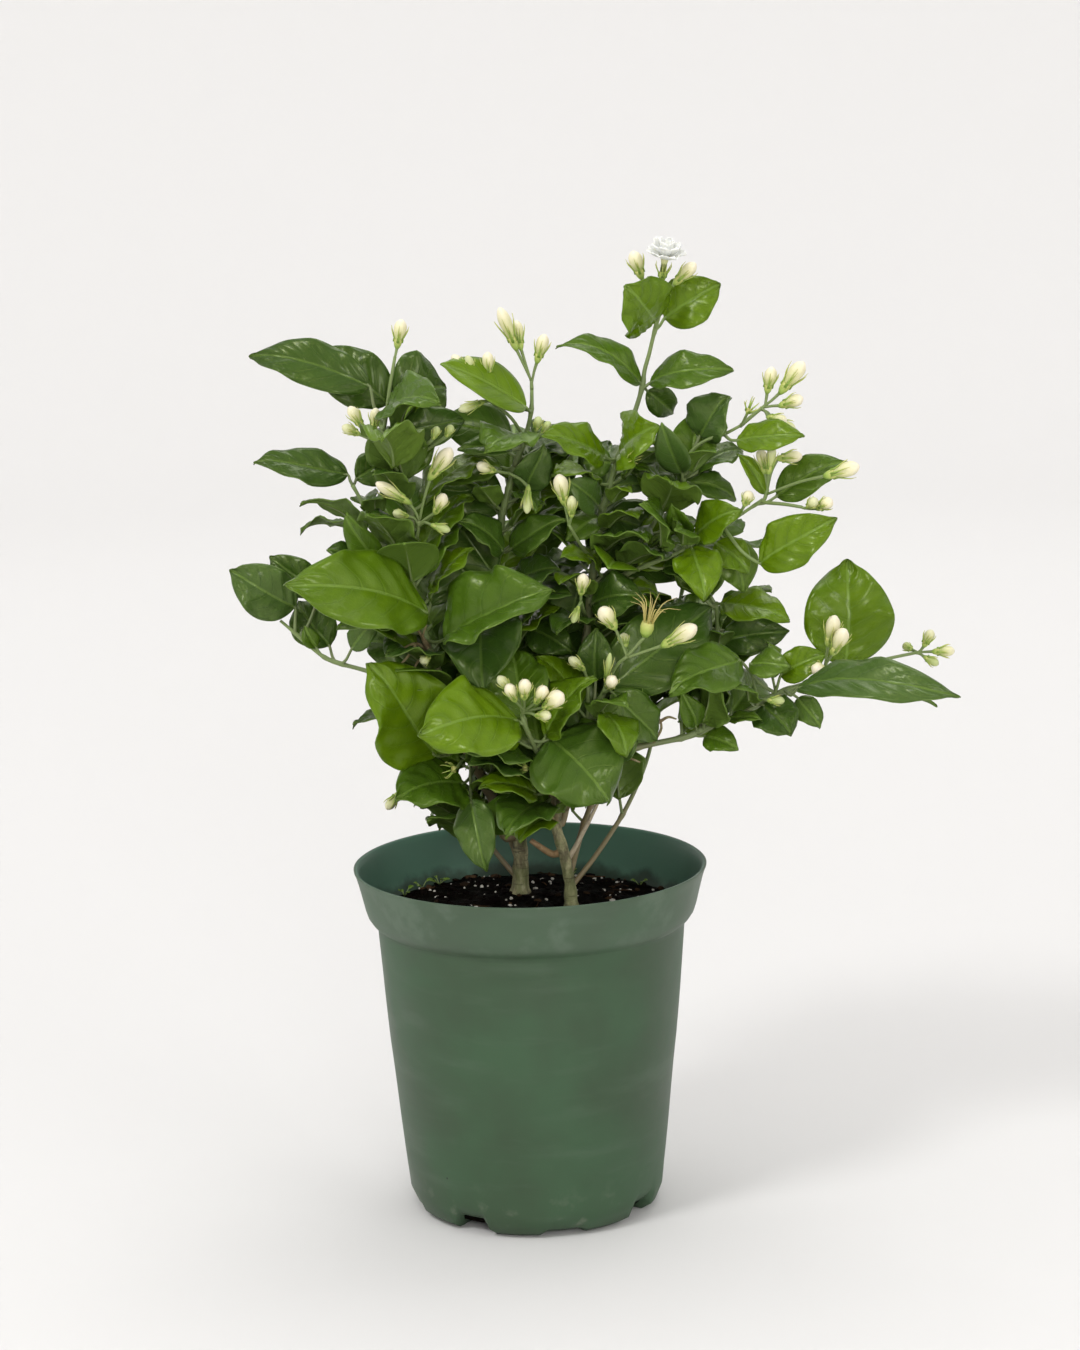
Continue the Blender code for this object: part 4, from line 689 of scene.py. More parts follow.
leafyStems = {
    "stem_left": {
        "parent": "trunk_left", "radius": (2.2, 1.3),
        "path": [(-11.5, 8, 176), (-15.5, 6.5, 190), (-20.5, 4, 202), (-28, 0, 218), (-36, -5, 240),
                 (-43, -10, 262), (-47, -12, 275), (-51, -14, 295), (-52, -14, 313), (-50, -13, 322)],
        "leaves": [
            ((-42, -16, 215), (-70, -34, 259), 37, (10, 25), 4, 12, "bright"),
            ((-44, -22, 282), (-107, -46, 297), 34, (0, 35), 6, 10, "pale"),
            ((-37, -20, 270), (11, -34, 293), 38, (-5, 25), 4, 24, "glossy", (48, 38, 40)),
            ((-30, -12, 202), (-61, -34, 196), 28, (-10, 35), 4, 12, "glossy"),
            ((-27, -16, 194), (-21, -28, 160), 17, (-20, 20), 4, 15, "grey"),
            ((-45, -4, 258), (-34, 6, 238), 20, (0, 20), 2, 10, "dark"),
            ((-56, -6, 292), (-64, -10, 318), 17, (-20, 20), 2, 14, "dark"),
            ((-43, -6, 286), (-39, 2, 316), 23, (10, 15), 2, 10, "dark"),
            ((-46, -4, 262), (-74, 4, 270), 20, (0, 20), 3, 12, "dark"),
        ],
    },
    "stem_left_top": {
        "parent": "stem_left", "radius": (1.3, 0.9),
        "path": [(-50, -13, 323), (-52, -12, 338), (-56, -11, 352), (-62, -10, 366), (-65, -10, 374)],
        "leaves": [
            ((-68, -10, 387), (-122, -4, 403), 19, (0, 25), 4, 12, "dark"),
            ((-60, 2, 379), (-90, 10, 404), 23, (-20, 30), 5, 10, "dark"),
            ((-57, 3, 382), (-33, 8, 386), 30, (10, 15), 3, 8, "dark"),
            ((-60, -15, 377), (-38, -30, 381), 23, (-10, 40), 4, 20, "margin"),
            ((-54, -14, 366), (-25, -9, 371), 16, (0, 20), 3, 10, "dark"),
            ((-58, -15, 351), (-64, -40, 366), 29, (0, 50), 3, 30, "bright", (62, 34, 28)),
        ],
    },
    "stem_left_middle": {
        "parent": "stem_left", "radius": (1.2, 0.8),
        "path": [(-51.3, -14, 300), (-60, -13, 308), (-66, -11, 318), (-72, -9, 332), (-77, -8, 342)],
        "leaves": [
            ((-79, -8, 347), (-121, -12, 355), 16, (0, 40), 3, 12, "dark"),
            ((-75, -3, 345), (-58, 4, 353), 15, (0, 30), 2, 12, "dark"),
            ((-71, -12, 321), (-100, -16, 336), 15, (150, 50), 3, 14, "dark"),
            ((-66, -14, 305), (-81, -20, 328), 12, (-20, 20), 2, 15, "mid"),
            ((-78, -13, 309), (-89, -16, 313), 9, (0, 30), 1, 12, "dark"),
        ],
    },
    "stem_left_low": {
        "parent": "stem_left", "radius": (1.3, 0.7),
        "path": [(-38, -6, 247), (-58, -3, 250), (-72.5, -1, 255.5), (-87, 1, 260), (-94.5, 2, 264),
                 (-106.5, 4, 275), (-112, 5, 280)],
        "leaves": [
            ((-105, 5, 286), (-134, 2, 304), 22, (-20, 20), 3, 14, "grey"),
            ((-94, 10, 292), (-116, 12, 310), 15, (0, 20), 2, 12, "dark"),
            ((-96, 2, 267), (-101, 0, 277), 7, (0, 20), 1, 10, "mid"),
            ((-90, 8, 268), (-104, 14, 289), 18, (0, 15), 3, 10, "dark"),
            ((-80, -4, 266), (-67, -6, 280), 11, (0, 30), 1, 12, "grey"),
        ],
    },
    "stem_centre": {
        "parent": "trunk_left", "radius": (2.0, 1.3),
        "path": [(-5, 10.5, 184), (-6, 14, 212), (-11, 14, 255), (-13, 9, 290), (-10, 4, 322),
                 (-7, 2, 335), (-3, 0, 349)],
        "leaves": [
            ((-18, 0, 284), (-20, -26, 247), 33, (-5, 25), 5, 14, "dark"),
            ((-9, -2, 310), (-29, -12, 325), 16, (0, 45), 3, 14, "dusk"),
            ((-6, -2, 311), (19, -10, 325), 15, (0, 40), 3, 14, "dusk"),
            ((-9, -4, 349), (-38, -14, 343), 15, (0, 45), 4, 12, "light"),
            ((1, 0, 337), (11, -6, 358), 15, (20, 20), 2, 12, "grey"),
            ((-12, -1, 332), (-19, -16, 341), 12, (-20, 40), 1, 14, "mid"),
            ((2, 10, 274), (21, 2, 263), 17, (0, 30), 3, 12, "dark"),
            ((-4, 12, 246), (-18, 2, 214), 22, (-10, 25), 3, 12, "dark"),
            ((-14, 2, 300), (-38, 8, 334), 20, (0, 20), 3, 12, "dark"),
            ((-11, 4, 328), (-40, 10, 352), 22, (0, 30), 3, 12, "dark"),
            ((-4, 2, 297), (16, -6, 302), 16, (0, 40), 2, 14, "dark"),
            ((-6, 10, 238), (10, 0, 264), 20, (0, 15), 3, 12, "dark"),
        ],
    },
    "stem_centre_top": {
        "parent": "stem_centre", "radius": (1.3, 0.8),
        "path": [(-2.7, 0, 350), (2, -2, 362), (5, -3, 374), (5.5, -3, 384)],
        "leaves": [
            ((3, -8, 376), (-35, -14, 397), 22, (0, 25), 2, 14, "bright", (52, 16, 22)),
            ((-4, -2, 362), (-36, -4, 370), 22, (0, 30), 2, 12, "dark"),
            ((-4, -4, 357), (-28, -10, 358), 11, (0, 50), 2, 12, "dark"),
        ],
    },
    "stem_tall": {
        "parent": "trunk_right", "radius": (1.9, 1.3),
        "path": [(13.8, -5, 196), (18, 2, 215), (24, 7, 240), (28, 8, 268), (31.8, 6, 300),
                 (34.2, 5, 314), (36.5, 4, 328), (38.3, 3.5, 333), (43, 3, 349)],
        "leaves": [
            ((27, 0, 299), (19, -14, 271), 21, (0, 15), 3, 10, "grey"),
            ((31, 10, 296), (50, 16, 272), 24, (0, 20), 3, 12, "dark"),
            ((26, 10, 262), (12, 4, 236), 20, (0, 20), 3, 12, "dark"),
            ((31, 8.5, 320), (12, 10, 330), 16, (0, 25), 2, 12, "dark"),
            ((38, 10, 324), (67, 14, 312), 22, (0, 30), 4, 12, "dark"),
            ((36, 8, 305), (77, 10, 298), 17, (0, 30), 4, 12, "dark"),
            ((35, 0, 325), (20, -8, 315), 13, (-10, 30), 2, 12, "mid"),
            ((35, -2, 330), (22, -12, 342), 14, (-10, 30), 2, 14, "grey"),
            ((41, 6, 338), (58, 10, 339), 9, (0, 40), 2, 12, "grey"),
            ((30, 0, 306), (18, -8, 308), 10, (0, 40), 1, 12, "bright"),
            ((31, 6, 285), (54, 2, 288), 20, (0, 30), 3, 12, "dark"),
        ],
    },
    "stem_tall_top": {
        "parent": "stem_tall", "radius": (1.3, 0.8),
        "path": [(43.4, 3, 350.5), (49.6, 2, 366), (55, 2, 382), (56.7, 2, 391.5), (58.9, 2, 399),
                 (60.3, 2, 404.6), (62.2, 2, 411.5), (64, 1, 417)],
        "leaves": [
            ((55, 1, 386), (18.5, -6, 405), 15, (10, 50), 7, 14, "mid"),
            ((59, 1, 386), (96, -6, 392), 17, (-10, 40), 6, 14, "mid"),
            ((62, 0, 414), (50, -14, 429), 22, (-10, 30), 3, 20, "bright", (24, 8, 26)),
            ((66, 0, 415), (91, -8, 430), 21, (10, 25), 3, 14, "bright"),
            ((45, -2, 353), (60, -18, 366), 25, (0, 35), 3, 12, "bright"),
            ((38, -2, 353), (11, -18, 364), 19, (0, 40), 3, 12, "bright"),
            ((47, 8, 350), (64, 12, 350), 14, (0, 20), 2, 10, "dark"),
            ((41, 6, 350), (28, 8, 350), 12, (0, 20), 2, 10, "olive"),
            ((58, 6, 382), (70, 12, 371), 12, (0, 10), 2, 10, "dusk"),
        ],
    },
    "stem_right_upper": {
        "parent": "stem_tall", "radius": (1.2, 0.7),
        "path": [(32, 6, 294), (42, 5, 302), (51.3, 4, 310.6), (58.6, 2, 319.5), (65.5, 0, 329.5),
                 (72.2, -2, 338), (75, -3, 346), (77.5, -4, 354), (84, -5, 359), (93, -7, 362),
                 (100, -9, 365.5)],
        "leaves": [
            ((73, -6, 344), (64, -18, 367), 13, (-20, 30), 2, 16, "grey"),
            ((78, 0, 348), (81, 5, 372), 18, (0, 15), 2, 12, "mid"),
            ((81, 1, 361), (94, -1, 379), 21, (-20, 25), 3, 20, "grey"),
            ((98, -13, 359), (128, -22, 361), 15, (0, 40), 2, 12, "bright"),
            ((71, 0, 338), (57, 4, 336), 13, (0, 40), 2, 12, "dark"),
            ((76, 0, 340), (98, 1, 332), 12, (0, 40), 3, 12, "dusk"),
        ],
    },
    "stem_right_middle": {
        "parent": "stem_tall", "radius": (1.2, 0.7),
        "path": [(31, 7, 286), (37, 5, 292), (43.9, 2, 297), (58.6, -4, 303), (71.5, -8, 308),
                 (80, -10, 313.5), (90, -12, 318), (99.3, -14, 324.5), (109.5, -16, 331)],
        "leaves": [
            ((116, -18, 333), (148, -26, 349), 16, (-20, 25), 3, 14, "mid"),
            ((111, -15, 334), (99, -20, 353), 8, (20, 20), 1, 14, "bright"),
            ((108, -24, 302), (142, -34, 322), 21, (0, 30), 4, 12, "bright"),
            ((79, -9, 316), (98, -22, 327), 17, (10, 30), 2, 12, "bright"),
            ((77, -12, 310), (83, -28, 287), 19, (0, 30), 3, 12, "bright"),
            ((88, -10, 312), (103, -16, 298), 14, (0, 30), 2, 12, "bright"),
            ((76, -8, 316), (68, -16, 329), 10, (-30, 30), 1, 14, "mid"),
            ((93, -6, 313), (101, -10, 289), 17, (0, 20), 2, 12, "light"),
        ],
    },
    "stem_front": {
        "parent": "trunk_right", "radius": (1.3, 0.9),
        "path": [(12.6, -6.5, 183), (10, -16, 198), (5, -24, 214), (0, -30, 226), (-2, -32, 232)],
        "leaves": [
            ((-4, -32, 231), (-49, -50, 226), 28, (0, 50), 5, 12, "bright", (38, 8, 34)),
            ((11, -26, 222), (37, -38, 193), 38, (10, 30), 4, 8, "dusk"),
            ((4, -22, 196), (-22, -34, 201), 17, (0, 55), 3, 14, "bright"),
            ((3, -16, 184), (-24, -22, 184), 19, (0, 40), 3, 12, "dusk"),
            ((8, -14, 190), (3, -22, 204), 9, (0, 30), 1, 12, "mid"),
        ],
    },
    "stem_buds": {
        "parent": "trunk_right", "radius": (1.5, 0.9),
        "path": [(17.5, -8.5, 189), (20, -12, 204), (25.2, -15, 221), (30.8, -18, 236),
                 (34.4, -20, 241.5), (37.9, -21, 248)],
        "leaves": [
            ((38, -12, 246), (86, 4, 283), 31, (0, 20), 5, 10, "dark"),
            ((32, -13, 249), (33, -14, 273), 14, (0, 15), 2, 10, "dark"),
            ((40, -14, 243), (61, -6, 220), 18, (0, 30), 3, 12, "dusk"),
            ((25, -8, 226), (20, -4, 256), 18, (0, 15), 3, 12, "grey"),
            ((21, -8, 214), (8, -4, 236), 17, (0, 20), 3, 12, "dark"),
        ],
    },
    "stem_right_low": {
        "parent": "trunk_right", "radius": (1.6, 1.2),
        "path": [(15.5, -4, 182), (21, -2.5, 200), (33.8, -4, 212.5), (52.8, -5, 217.5),
                 (73, -4, 221.5), (81.3, -4, 224.8), (99.8, -6, 232)],
        "leaves": [
            ((34, -11, 214), (50, -15, 230), 18, (0, 20), 2, 10, "grey"),
            ((78, -8, 226), (72, -14, 242), 11, (0, 30), 2, 22, "mid"),
            ((83, -1, 228), (88, 6, 252), 18, (0, 20), 2, 12, "dark"),
            ((82, -6, 222), (97, -14, 216), 12, (0, 35), 2, 12, "mid"),
            ((93, -9, 230), (108, -18, 230), 7, (0, 50), 1, 12, "light"),
        ],
    },
    "stem_right_tip": {
        "parent": "stem_right_low", "radius": (1.2, 0.8),
        "path": [(100.5, -6, 232.4), (109, -8, 237.5), (119, -9, 242.5), (134, -8, 247), (147, -7, 251)],
        "leaves": [
            ((147, -4, 254), (148, 4, 303), 35, (0, 12), 3, 10, "bright"),
            ((125, -14, 243.5), (198, -30, 239.5), 20, (0, 45), 9, 12, "grey"),
            ((124, -2, 243), (189.5, -8, 236), 12, (0, 50), 7, 12, "grey"),
            ((109, -13, 236), (122, -24, 222), 19, (0, 40), 2, 12, "dark"),
            ((125, -8, 239), (136, -12, 225), 11, (0, 30), 1, 10, "olive"),
            ((117, -12, 249.5), (138, -16, 259), 14, (0, 30), 2, 12, "bright"),
            ((103, -9, 255), (121, -14, 254), 14, (0, 40), 2, 12, "light"),
            ((99, -16, 257), (66, -34, 244), 24, (0, 45), 4, 10, "margin"),
        ],
    },
    "stem_right_rear": {
        "parent": "stem_right_low", "radius": (1.2, 0.8),
        "path": [(80, -3, 224.5), (84, 4, 240), (88, 8, 262), (88, 6, 284)],
        "leaves": [
            ((90, 3, 284), (121, -10, 277), 18, (0, 50), 3, 12, "bright"),
            ((90, 5, 266), (121, 1, 270), 16, (0, 15), 3, 12, "dark"),
            ((84, 10, 258), (60, 24, 262), 22, (170, 45), 4, 12, "mid"),
            ((90, 12, 272), (112, 34, 292), 24, (160, 50), 4, 12, "mid"),
        ],
    },
}

rearStems = {
    "stem_rear_left": {
        "parent": "trunk_left", "radius": (1.6, 0.8), "pairs": 3, "leaf": 42,
        "path": [(-5.5, 14, 165), (-16, 26, 196), (-34, 40, 234), (-50, 50, 276), (-60, 54, 318)],
    },
    "stem_rear_centre": {
        "parent": "trunk_left", "radius": (1.6, 0.8), "pairs": 3, "leaf": 44,
        "path": [(-4.6, 14, 172), (-3, 32, 212), (2, 46, 256), (6, 54, 300), (6, 56, 340)],
    },
    "stem_rear_right": {
        "parent": "trunk_right", "radius": (1.5, 0.8), "pairs": 3, "leaf": 42,
        "path": [(18.5, -6, 157), (25, 8, 180), (34, 22, 202), (50, 36, 234), (66, 48, 268),
                 (76, 52, 304)],
    },
    "stem_rear_low_left": {
        "parent": "trunk_left", "radius": (1.3, 0.8), "pairs": 2, "leaf": 32,
        "path": [(-6, 13, 156), (-20, 15, 174), (-34, 20, 192), (-46, 26, 214), (-52, 30, 232)],
    },
    "stem_rear_low_right": {
        "parent": "trunk_right", "radius": (1.3, 0.8), "pairs": 2, "leaf": 34,
        "path": [(19, -8.5, 151), (32, 0, 168), (46, 18, 190), (56, 34, 214), (60, 42, 238)],
    },
}

clusters = {
    "buds_front": {
        "parent": "stem_front", "stalk": [(-2.2, -32.5, 233.5), (-1, -35, 236)],
        "buds": [
            ((-5, -38, 240), (-8.5, -41, 248), 2.9),
            ((-1, -39, 241), (-0.4, -43, 250), 3.1),
            ((4, -38, 239), (9, -42, 246.5), 3.0),
            ((8, -38, 236.5), (16.5, -44, 243), 4.0),
            ((4, -38, 233), (11, -42, 233), 2.4),
            ((-6, -36, 244), (-13, -36, 252), 2.4),
        ],
    },
    "buds_middle": {
        "parent": "stem_buds", "stalk": [(38.5, -21.5, 250), (42, -24, 256), (46.8, -26, 260)],
        "buds": [
            ((41.5, -27, 273), (35, -30, 283), 3.9),
            ((46, -22, 264), (45, -20, 271), 2.4),
            ((63, -30, 264.5), (79, -34, 273.5), 3.9),
        ],
        "spent": [((55, -28, 269), (60, -30, 289), 3.4)],
    },
    "bud_low_middle": {
        "parent": "stem_buds", "stalk": [(36, -22.5, 243), (38, -25, 244.5)],
        "buds": [
            ((38.2, -26, 245), (40, -33, 250), 2.9),
            ((36.5, -24, 247), (39, -27, 262), 1.5),
        ],
    },
    "buds_centre_top": {
        "parent": "stem_centre_top", "stalk": [(5.5, -3, 385), (5.4, -3, 388)],
        "buds": [
            ((-1, -4, 402), (-8.5, -8, 421.5), 3.1),
            ((1, -3, 402), (-1, -1, 415.5), 2.7),
            ((8, -4, 396), (12, -5, 409), 3.0),
        ],
    },
    "buds_left_crown": {
        "parent": "stem_left_top", "stalk": [(-57.4, -13.5, 353.5), (-62, -20, 358), (-67, -23, 362)],
        "buds": [
            ((-71.5, -23, 368), (-77.5, -24, 378), 2.7),
            ((-66.5, -24, 367), (-65.3, -26, 377), 2.6),
            ((-73, -22, 365), (-81, -24, 369), 2.4),
        ],
    },
    "bud_left_high": {
        "parent": "stem_left_top", "stalk": [(-61.5, -13, 369), (-59, -13.5, 385), (-56, -13, 400)],
        "buds": [
            ((-55, -12, 404), (-52.5, -13, 417), 3.1),
        ],
    },
    "buds_left_middle": {
        "parent": "stem_left", "stalk": [(-48.5, -18, 317), (-47, -20, 325)],
        "buds": [
            ((-51, -21, 333), (-66.5, -24, 343), 2.8),
            ((-42, -24, 344), (-31.5, -27, 358), 3.7),
            ((-40, -22, 328), (-35, -25, 337), 2.9),
            ((-52, -21, 327), (-59, -24, 329), 2.2),
            ((-42, -22, 323), (-33, -24, 320), 2.0),
        ],
    },
    "buds_centre": {
        "parent": "stem_centre", "stalk": [(-3.4, -1.6, 344), (-6, -10, 346)],
        "buds": [
            ((3, -14, 340), (2, -18, 327), 2.2),
            ((-12, -14, 347), (-20, -20, 350), 2.6),
        ],
    },
    "buds_centre_left": {
        "parent": "stem_centre_top", "stalk": [(1.6, -3.2, 362), (-4, -10, 371), (-12, -11, 378)],
        "buds": [
            ((-24, -12, 390), (-30, -13, 400.5), 2.7),
            ((-21, -12, 390), (-23.5, -13, 400), 2.3),
            ((-14, -11, 390), (-14.2, -12, 401.5), 2.8),
            ((-16, -12, 379), (-28, -16, 375), 2.3),
        ],
    },
    "buds_young": {
        "parent": "stem_centre_top", "stalk": [(2.6, -3, 363.5), (6, -8, 363)],
        "buds": [
            ((7, -9, 365), (8.5, -11, 371.5), 2.1),
            ((9.5, -9, 364), (13.5, -11, 369), 1.9),
        ],
    },
    "buds_pair": {
        "parent": "stem_tall", "stalk": [(32.2, 5, 305), (27, -5, 311), (21, -14, 322)],
        "buds": [
            ((19.5, -15, 331), (16.8, -18, 345), 3.6),
            ((22.3, -15, 325), (22.6, -17, 335), 2.4),
        ],
    },
    "buds_inner": {
        "parent": "stem_tall", "stalk": [(29.4, 7.4, 276), (27, -6, 282), (26, -16, 286)],
        "buds": [
            ((26, -18, 289), (27.5, -20, 299), 2.9),
            ((25, -17, 284), (22, -21, 276), 1.8),
        ],
    },
    "bud_low": {
        "parent": "stem_buds", "stalk": [(28, -16, 229), (28.5, -20, 246)],
        "buds": [
            ((27, -21, 254), (20, -24, 260), 2.4),
        ],
    },
    "buds_crown": {
        "parent": "stem_tall_top", "stalk": [(64, 1, 418.5), (64.5, 0.5, 423)],
        "buds": [
            ((56, 0, 433), (52, -2, 445.5), 3.4),
            ((70.5, 0, 430), (80.5, -2, 439.5), 3.1),
        ],
        "flower": ((65, 0, 431.5), (66.5, -2, 441.5), 8.5),
    },
    "buds_right_high": {
        "parent": "stem_right_upper", "stalk": [(100.8, -9, 366), (105.5, -10, 370), (111.3, -11, 374.5)],
        "buds": [
            ((112, -11, 380), (114.5, -12, 392), 3.0),
            ((118, -12, 380), (129, -14, 394), 3.7),
            ((117.5, -12, 374), (128.5, -14, 377.5), 3.0),
            ((112, -14, 369), (121, -18, 367), 2.6),
            ((114, -10, 368), (125, -9, 363), 2.4),
        ],
    },
    "buds_right_middle": {
        "parent": "stem_right_middle", "stalk": [(110.6, -16.3, 331.8), (112, -16.5, 336)],
        "buds": [
            ((111, -14, 343), (108.5, -13, 355), 2.7),
            ((112.5, -18, 343), (114.3, -20, 356), 2.3),
            ((116, -14, 350), (128, -14, 351), 2.8),
            ((138, -31, 341.5), (154, -34, 346), 3.6),
        ],
    },
    "buds_right_small": {
        "parent": "stem_right_middle", "stalk": [(111, -18, 330), (119.5, -24, 329), (127.5, -28, 327.5)],
        "buds": [
            ((130, -29, 327), (134, -33, 331), 2.4),
            ((134, -29, 326.5), (141.5, -31, 330.5), 2.9),
        ],
    },
    "bud_right_inner": {
        "parent": "stem_right_middle", "stalk": [(99, -16.5, 325.6), (99.4, -18, 326)],
        "buds": [
            ((101.2, -19, 328.6), (104, -20, 335.5), 2.7),
        ],
    },
    "buds_right_front": {
        "parent": "stem_right_tip", "stalk": [(135, -10, 248.6), (137.8, -16, 254)],
        "buds": [
            ((139, -19, 263), (142.5, -24, 277), 3.4),
            ((141, -21, 259), (147, -28, 270.5), 3.6),
            ((136.5, -19, 252.5), (133.3, -28, 252), 3.2),
        ],
    },
    "bud_right_low": {
        "parent": "stem_right_tip", "stalk": [(108.4, -10, 238.4), (110, -14, 238.2)],
        "buds": [
            ((111, -15, 238), (119, -18, 237.6), 2.0),
        ],
    },
    "buds_far_right": {
        "parent": "stem_right_tip", "stalk": [(148.4, -6, 251.6), (165, 0, 256), (180.5, 3, 259)],
        "buds": [
            ((183, 3, 261.5), (187, 3, 269.5), 2.5),
            ((187, 2, 259.2), (197.5, 1, 259.3), 2.6),
            ((183, 2, 257), (190, 0, 253), 2.1),
            ((178, 5, 260), (173.5, 7, 263), 2.1),
        ],
    },
}


woody = {"sides": 20, "spacing": 1.6, "flare": 1.4, "knots": 0.2, "girth": 1.15}


def makeTrunks(lines, material):
    for node, spec in trunks.items():
        line = smoothLine([atDepth(point) for point in spec["path"]], 4)
        lines[node] = evenLine(line, fineStep)
        bm, layers = newMesh()
        runs = [(line, spec["radius"], 0.0, 0.0)]
        for index, branch in enumerate(spec["side"]):
            run = smoothLine([atDepth(point) for point in branch["path"]], 4)
            runs.append((run, branch["radius"], 1.0 * index, 1.0 - index))
        for index, (run, (first, last), warm, pale) in enumerate(runs):
            run = evenLine(run, woody["spacing"])
            radii = []
            for step, place in enumerate(run):
                share = step / (len(run) - 1)
                z = place.z / mm
                girth = (first + (last - first) * share) * woody["girth"]
                girth *= 1 + (woody["flare"] - 1) * bump(z, 143, 5) * (index == 0)
                girth *= 1 + woody["knots"] * noise.noise(Vector((z * 0.22, index * 9.0, len(node))))
                radii.append(girth * mm)

            def ridges(share, turn, line=run, seed=index + len(node)):
                place = line[round(share * (len(line) - 1))] / mm
                around = Vector((math.cos(turn) * 1.4, math.sin(turn) * 1.4, place.z * 0.16 + seed))
                lump = noise.noise(around)
                return 1 + 0.10 * lump + 0.05 * noise.noise(Vector((turn * 3, place.z * 0.5, seed)))

            addTube(bm, layers, run, radii, woody["sides"], relief=ridges, tone=warm, grey=pale)
        finishPiece(pieceName(node), bm, [material], node)


leafForm = {
    "fullness": 1.2, "thickness": 0.42, "rib": 0.35, "ripple": 0.07, "quilt": 1.0, "groove": 0.4,
    "droop": 0.05, "twist": 16, "curl": 0.10, "sway": 0.035, "petiole": 0.9, "footBack": 8.0,
    "waves": ((2.1, 0.3, 1.0, 1.0), (3.7, -0.2, 2.2, 0.5)),  # each: turns, offset between halves, drift, size
    "stations": (0.25, 0.5, 0.75), "nearCad": 1.6, "rearLowest": 200,
    "reachSteps": (0, 5, -5, 10, -10, 15, -15, 20, -20, 26, -26, 32, -32, 40, -40),
}
# How bright and how grey each kind of leaf looks. The brightness is partly the leaf's own colour, young
# leaves yellower and old ones darker, and partly painted light and shade: lit leaves brighter, shaded ones
# darker. The grey is a painted sheen, the pale room reflected in the leaf.
leafTonesAndLight = {
    "bright": (0.92, 0.0), "pale": (0.86, 0.05), "glossy": (0.46, 0.05), "grey": (0.28, 0.42),
    "dark": (0.06, 0.06), "dusk": (0.24, 0.1), "mid": (0.52, 0.08), "margin": (0.5, 0.15),
    "light": (0.78, 0.25), "olive": (0.62, 0.35), "rear": (0.2, 0.08),
}


def leafShape(leaf, baseShift=0.0, tipShift=0.0):
    (bx, by, bz), (tx, ty, tz), width, (turn, lift), arch, fold = leaf[:6]
    scale = sight["depthScale"]
    turn, lift = math.radians(turn), math.radians(lift)
    return {
        "base": atDepth((bx, by + baseShift / scale, bz)), "tip": atDepth((tx, ty + tipShift / scale, tz)),
        "face": Vector((math.sin(turn) * math.cos(lift), -math.cos(turn) * math.cos(lift), math.sin(lift))),
        "width": width, "arch": arch, "fold": fold, "look": leaf[6], "seed": bx * 1.7 + tz,
        "pose": leaf[7] if len(leaf) > 7 else None,
    }


def halfWidth(u, roundness=0.0):
    body = 0.5 * leafForm["fullness"] * math.sin(math.pi * clamp(u) ** 0.82) ** (0.62 - 0.16 * roundness)
    return body * (1 - 0.18 * u ** 5) * (1 - 0.30 * bump(u, 0.965, 0.045))


def roundnessOf(shape):
    return softStep(0.62, 0.95, shape["width"] * mm / (shape["tip"] - shape["base"]).length)


def bladeAxes(shape):
    along = shape["tip"] - shape["base"]
    face = (shape["face"] - along * (shape["face"].dot(along) / along.length_squared)).normalized()
    return along, face, along.normalized().cross(face)


def plainPoint(shape, u, v):  # the CAD blade's own surface
    along, face, side = bladeAxes(shape)
    fold = math.radians(shape["fold"])
    reach = shape["width"] * halfWidth(u) * abs(v) * mm
    lift = shape["arch"] * 4 * u * (1 - u) * mm + reach * math.sin(fold)
    return shape["base"] + along * u + side * math.copysign(reach * math.cos(fold), v) + face * lift


def leafPoint(shape, u, v):  # the finished blade: crowned halves, quilted between veins, with a waved margin
    along, face, side = bladeAxes(shape)
    form, seed, width = leafForm, shape["seed"], shape["width"]
    relief = shape.get("relief", 1.0)
    twist = math.radians(form["twist"]) * relief * math.sin(seed * 1.9) * (u - 0.45) * 2
    turned = face * math.cos(twist) - side * math.sin(twist)
    face, side = turned, side * math.cos(twist) + face * math.sin(twist)
    fold = math.radians(shape["fold"])
    reach = width * halfWidth(u, roundnessOf(shape)) * abs(v)
    lift = shape["arch"] * 4 * u * (1 - u) + reach * math.sin(fold) * (1.3 - 0.45 * abs(v))
    lift -= form["droop"] * width * abs(v) ** 2.5
    wave = sum(size * math.sin(2 * math.pi * (u * turns + offset * (v > 0)) + seed * drift)
               for turns, offset, drift, size in form["waves"])
    lift += relief * form["ripple"] * width * wave * abs(v) ** 2 * softStep(0.0, 0.25, u)
    run = u * leafLook["veins"] - leafLook["slant"] * abs(v) ** leafLook["veinBend"]
    run += leafLook["stagger"] * (v > 0)
    swell = math.cos(2 * math.pi * run) * (4 * abs(v) * (1 - abs(v))) ** 0.8
    lift -= relief * form["quilt"] * swell * min(1.0, width / 24)
    lift -= form["groove"] * bump(reach, 0, 0.9)
    lift -= relief * form["curl"] * along.length / mm * softStep(0.72, 1.25, u) * 0.8
    sway = relief * form["sway"] * along.length / mm * math.sin(math.pi * u) * math.sin(seed * 2.3)
    across = math.copysign(reach * math.cos(fold), v) + sway
    return shape["base"] + along * u + (side * across + face * lift) * mm


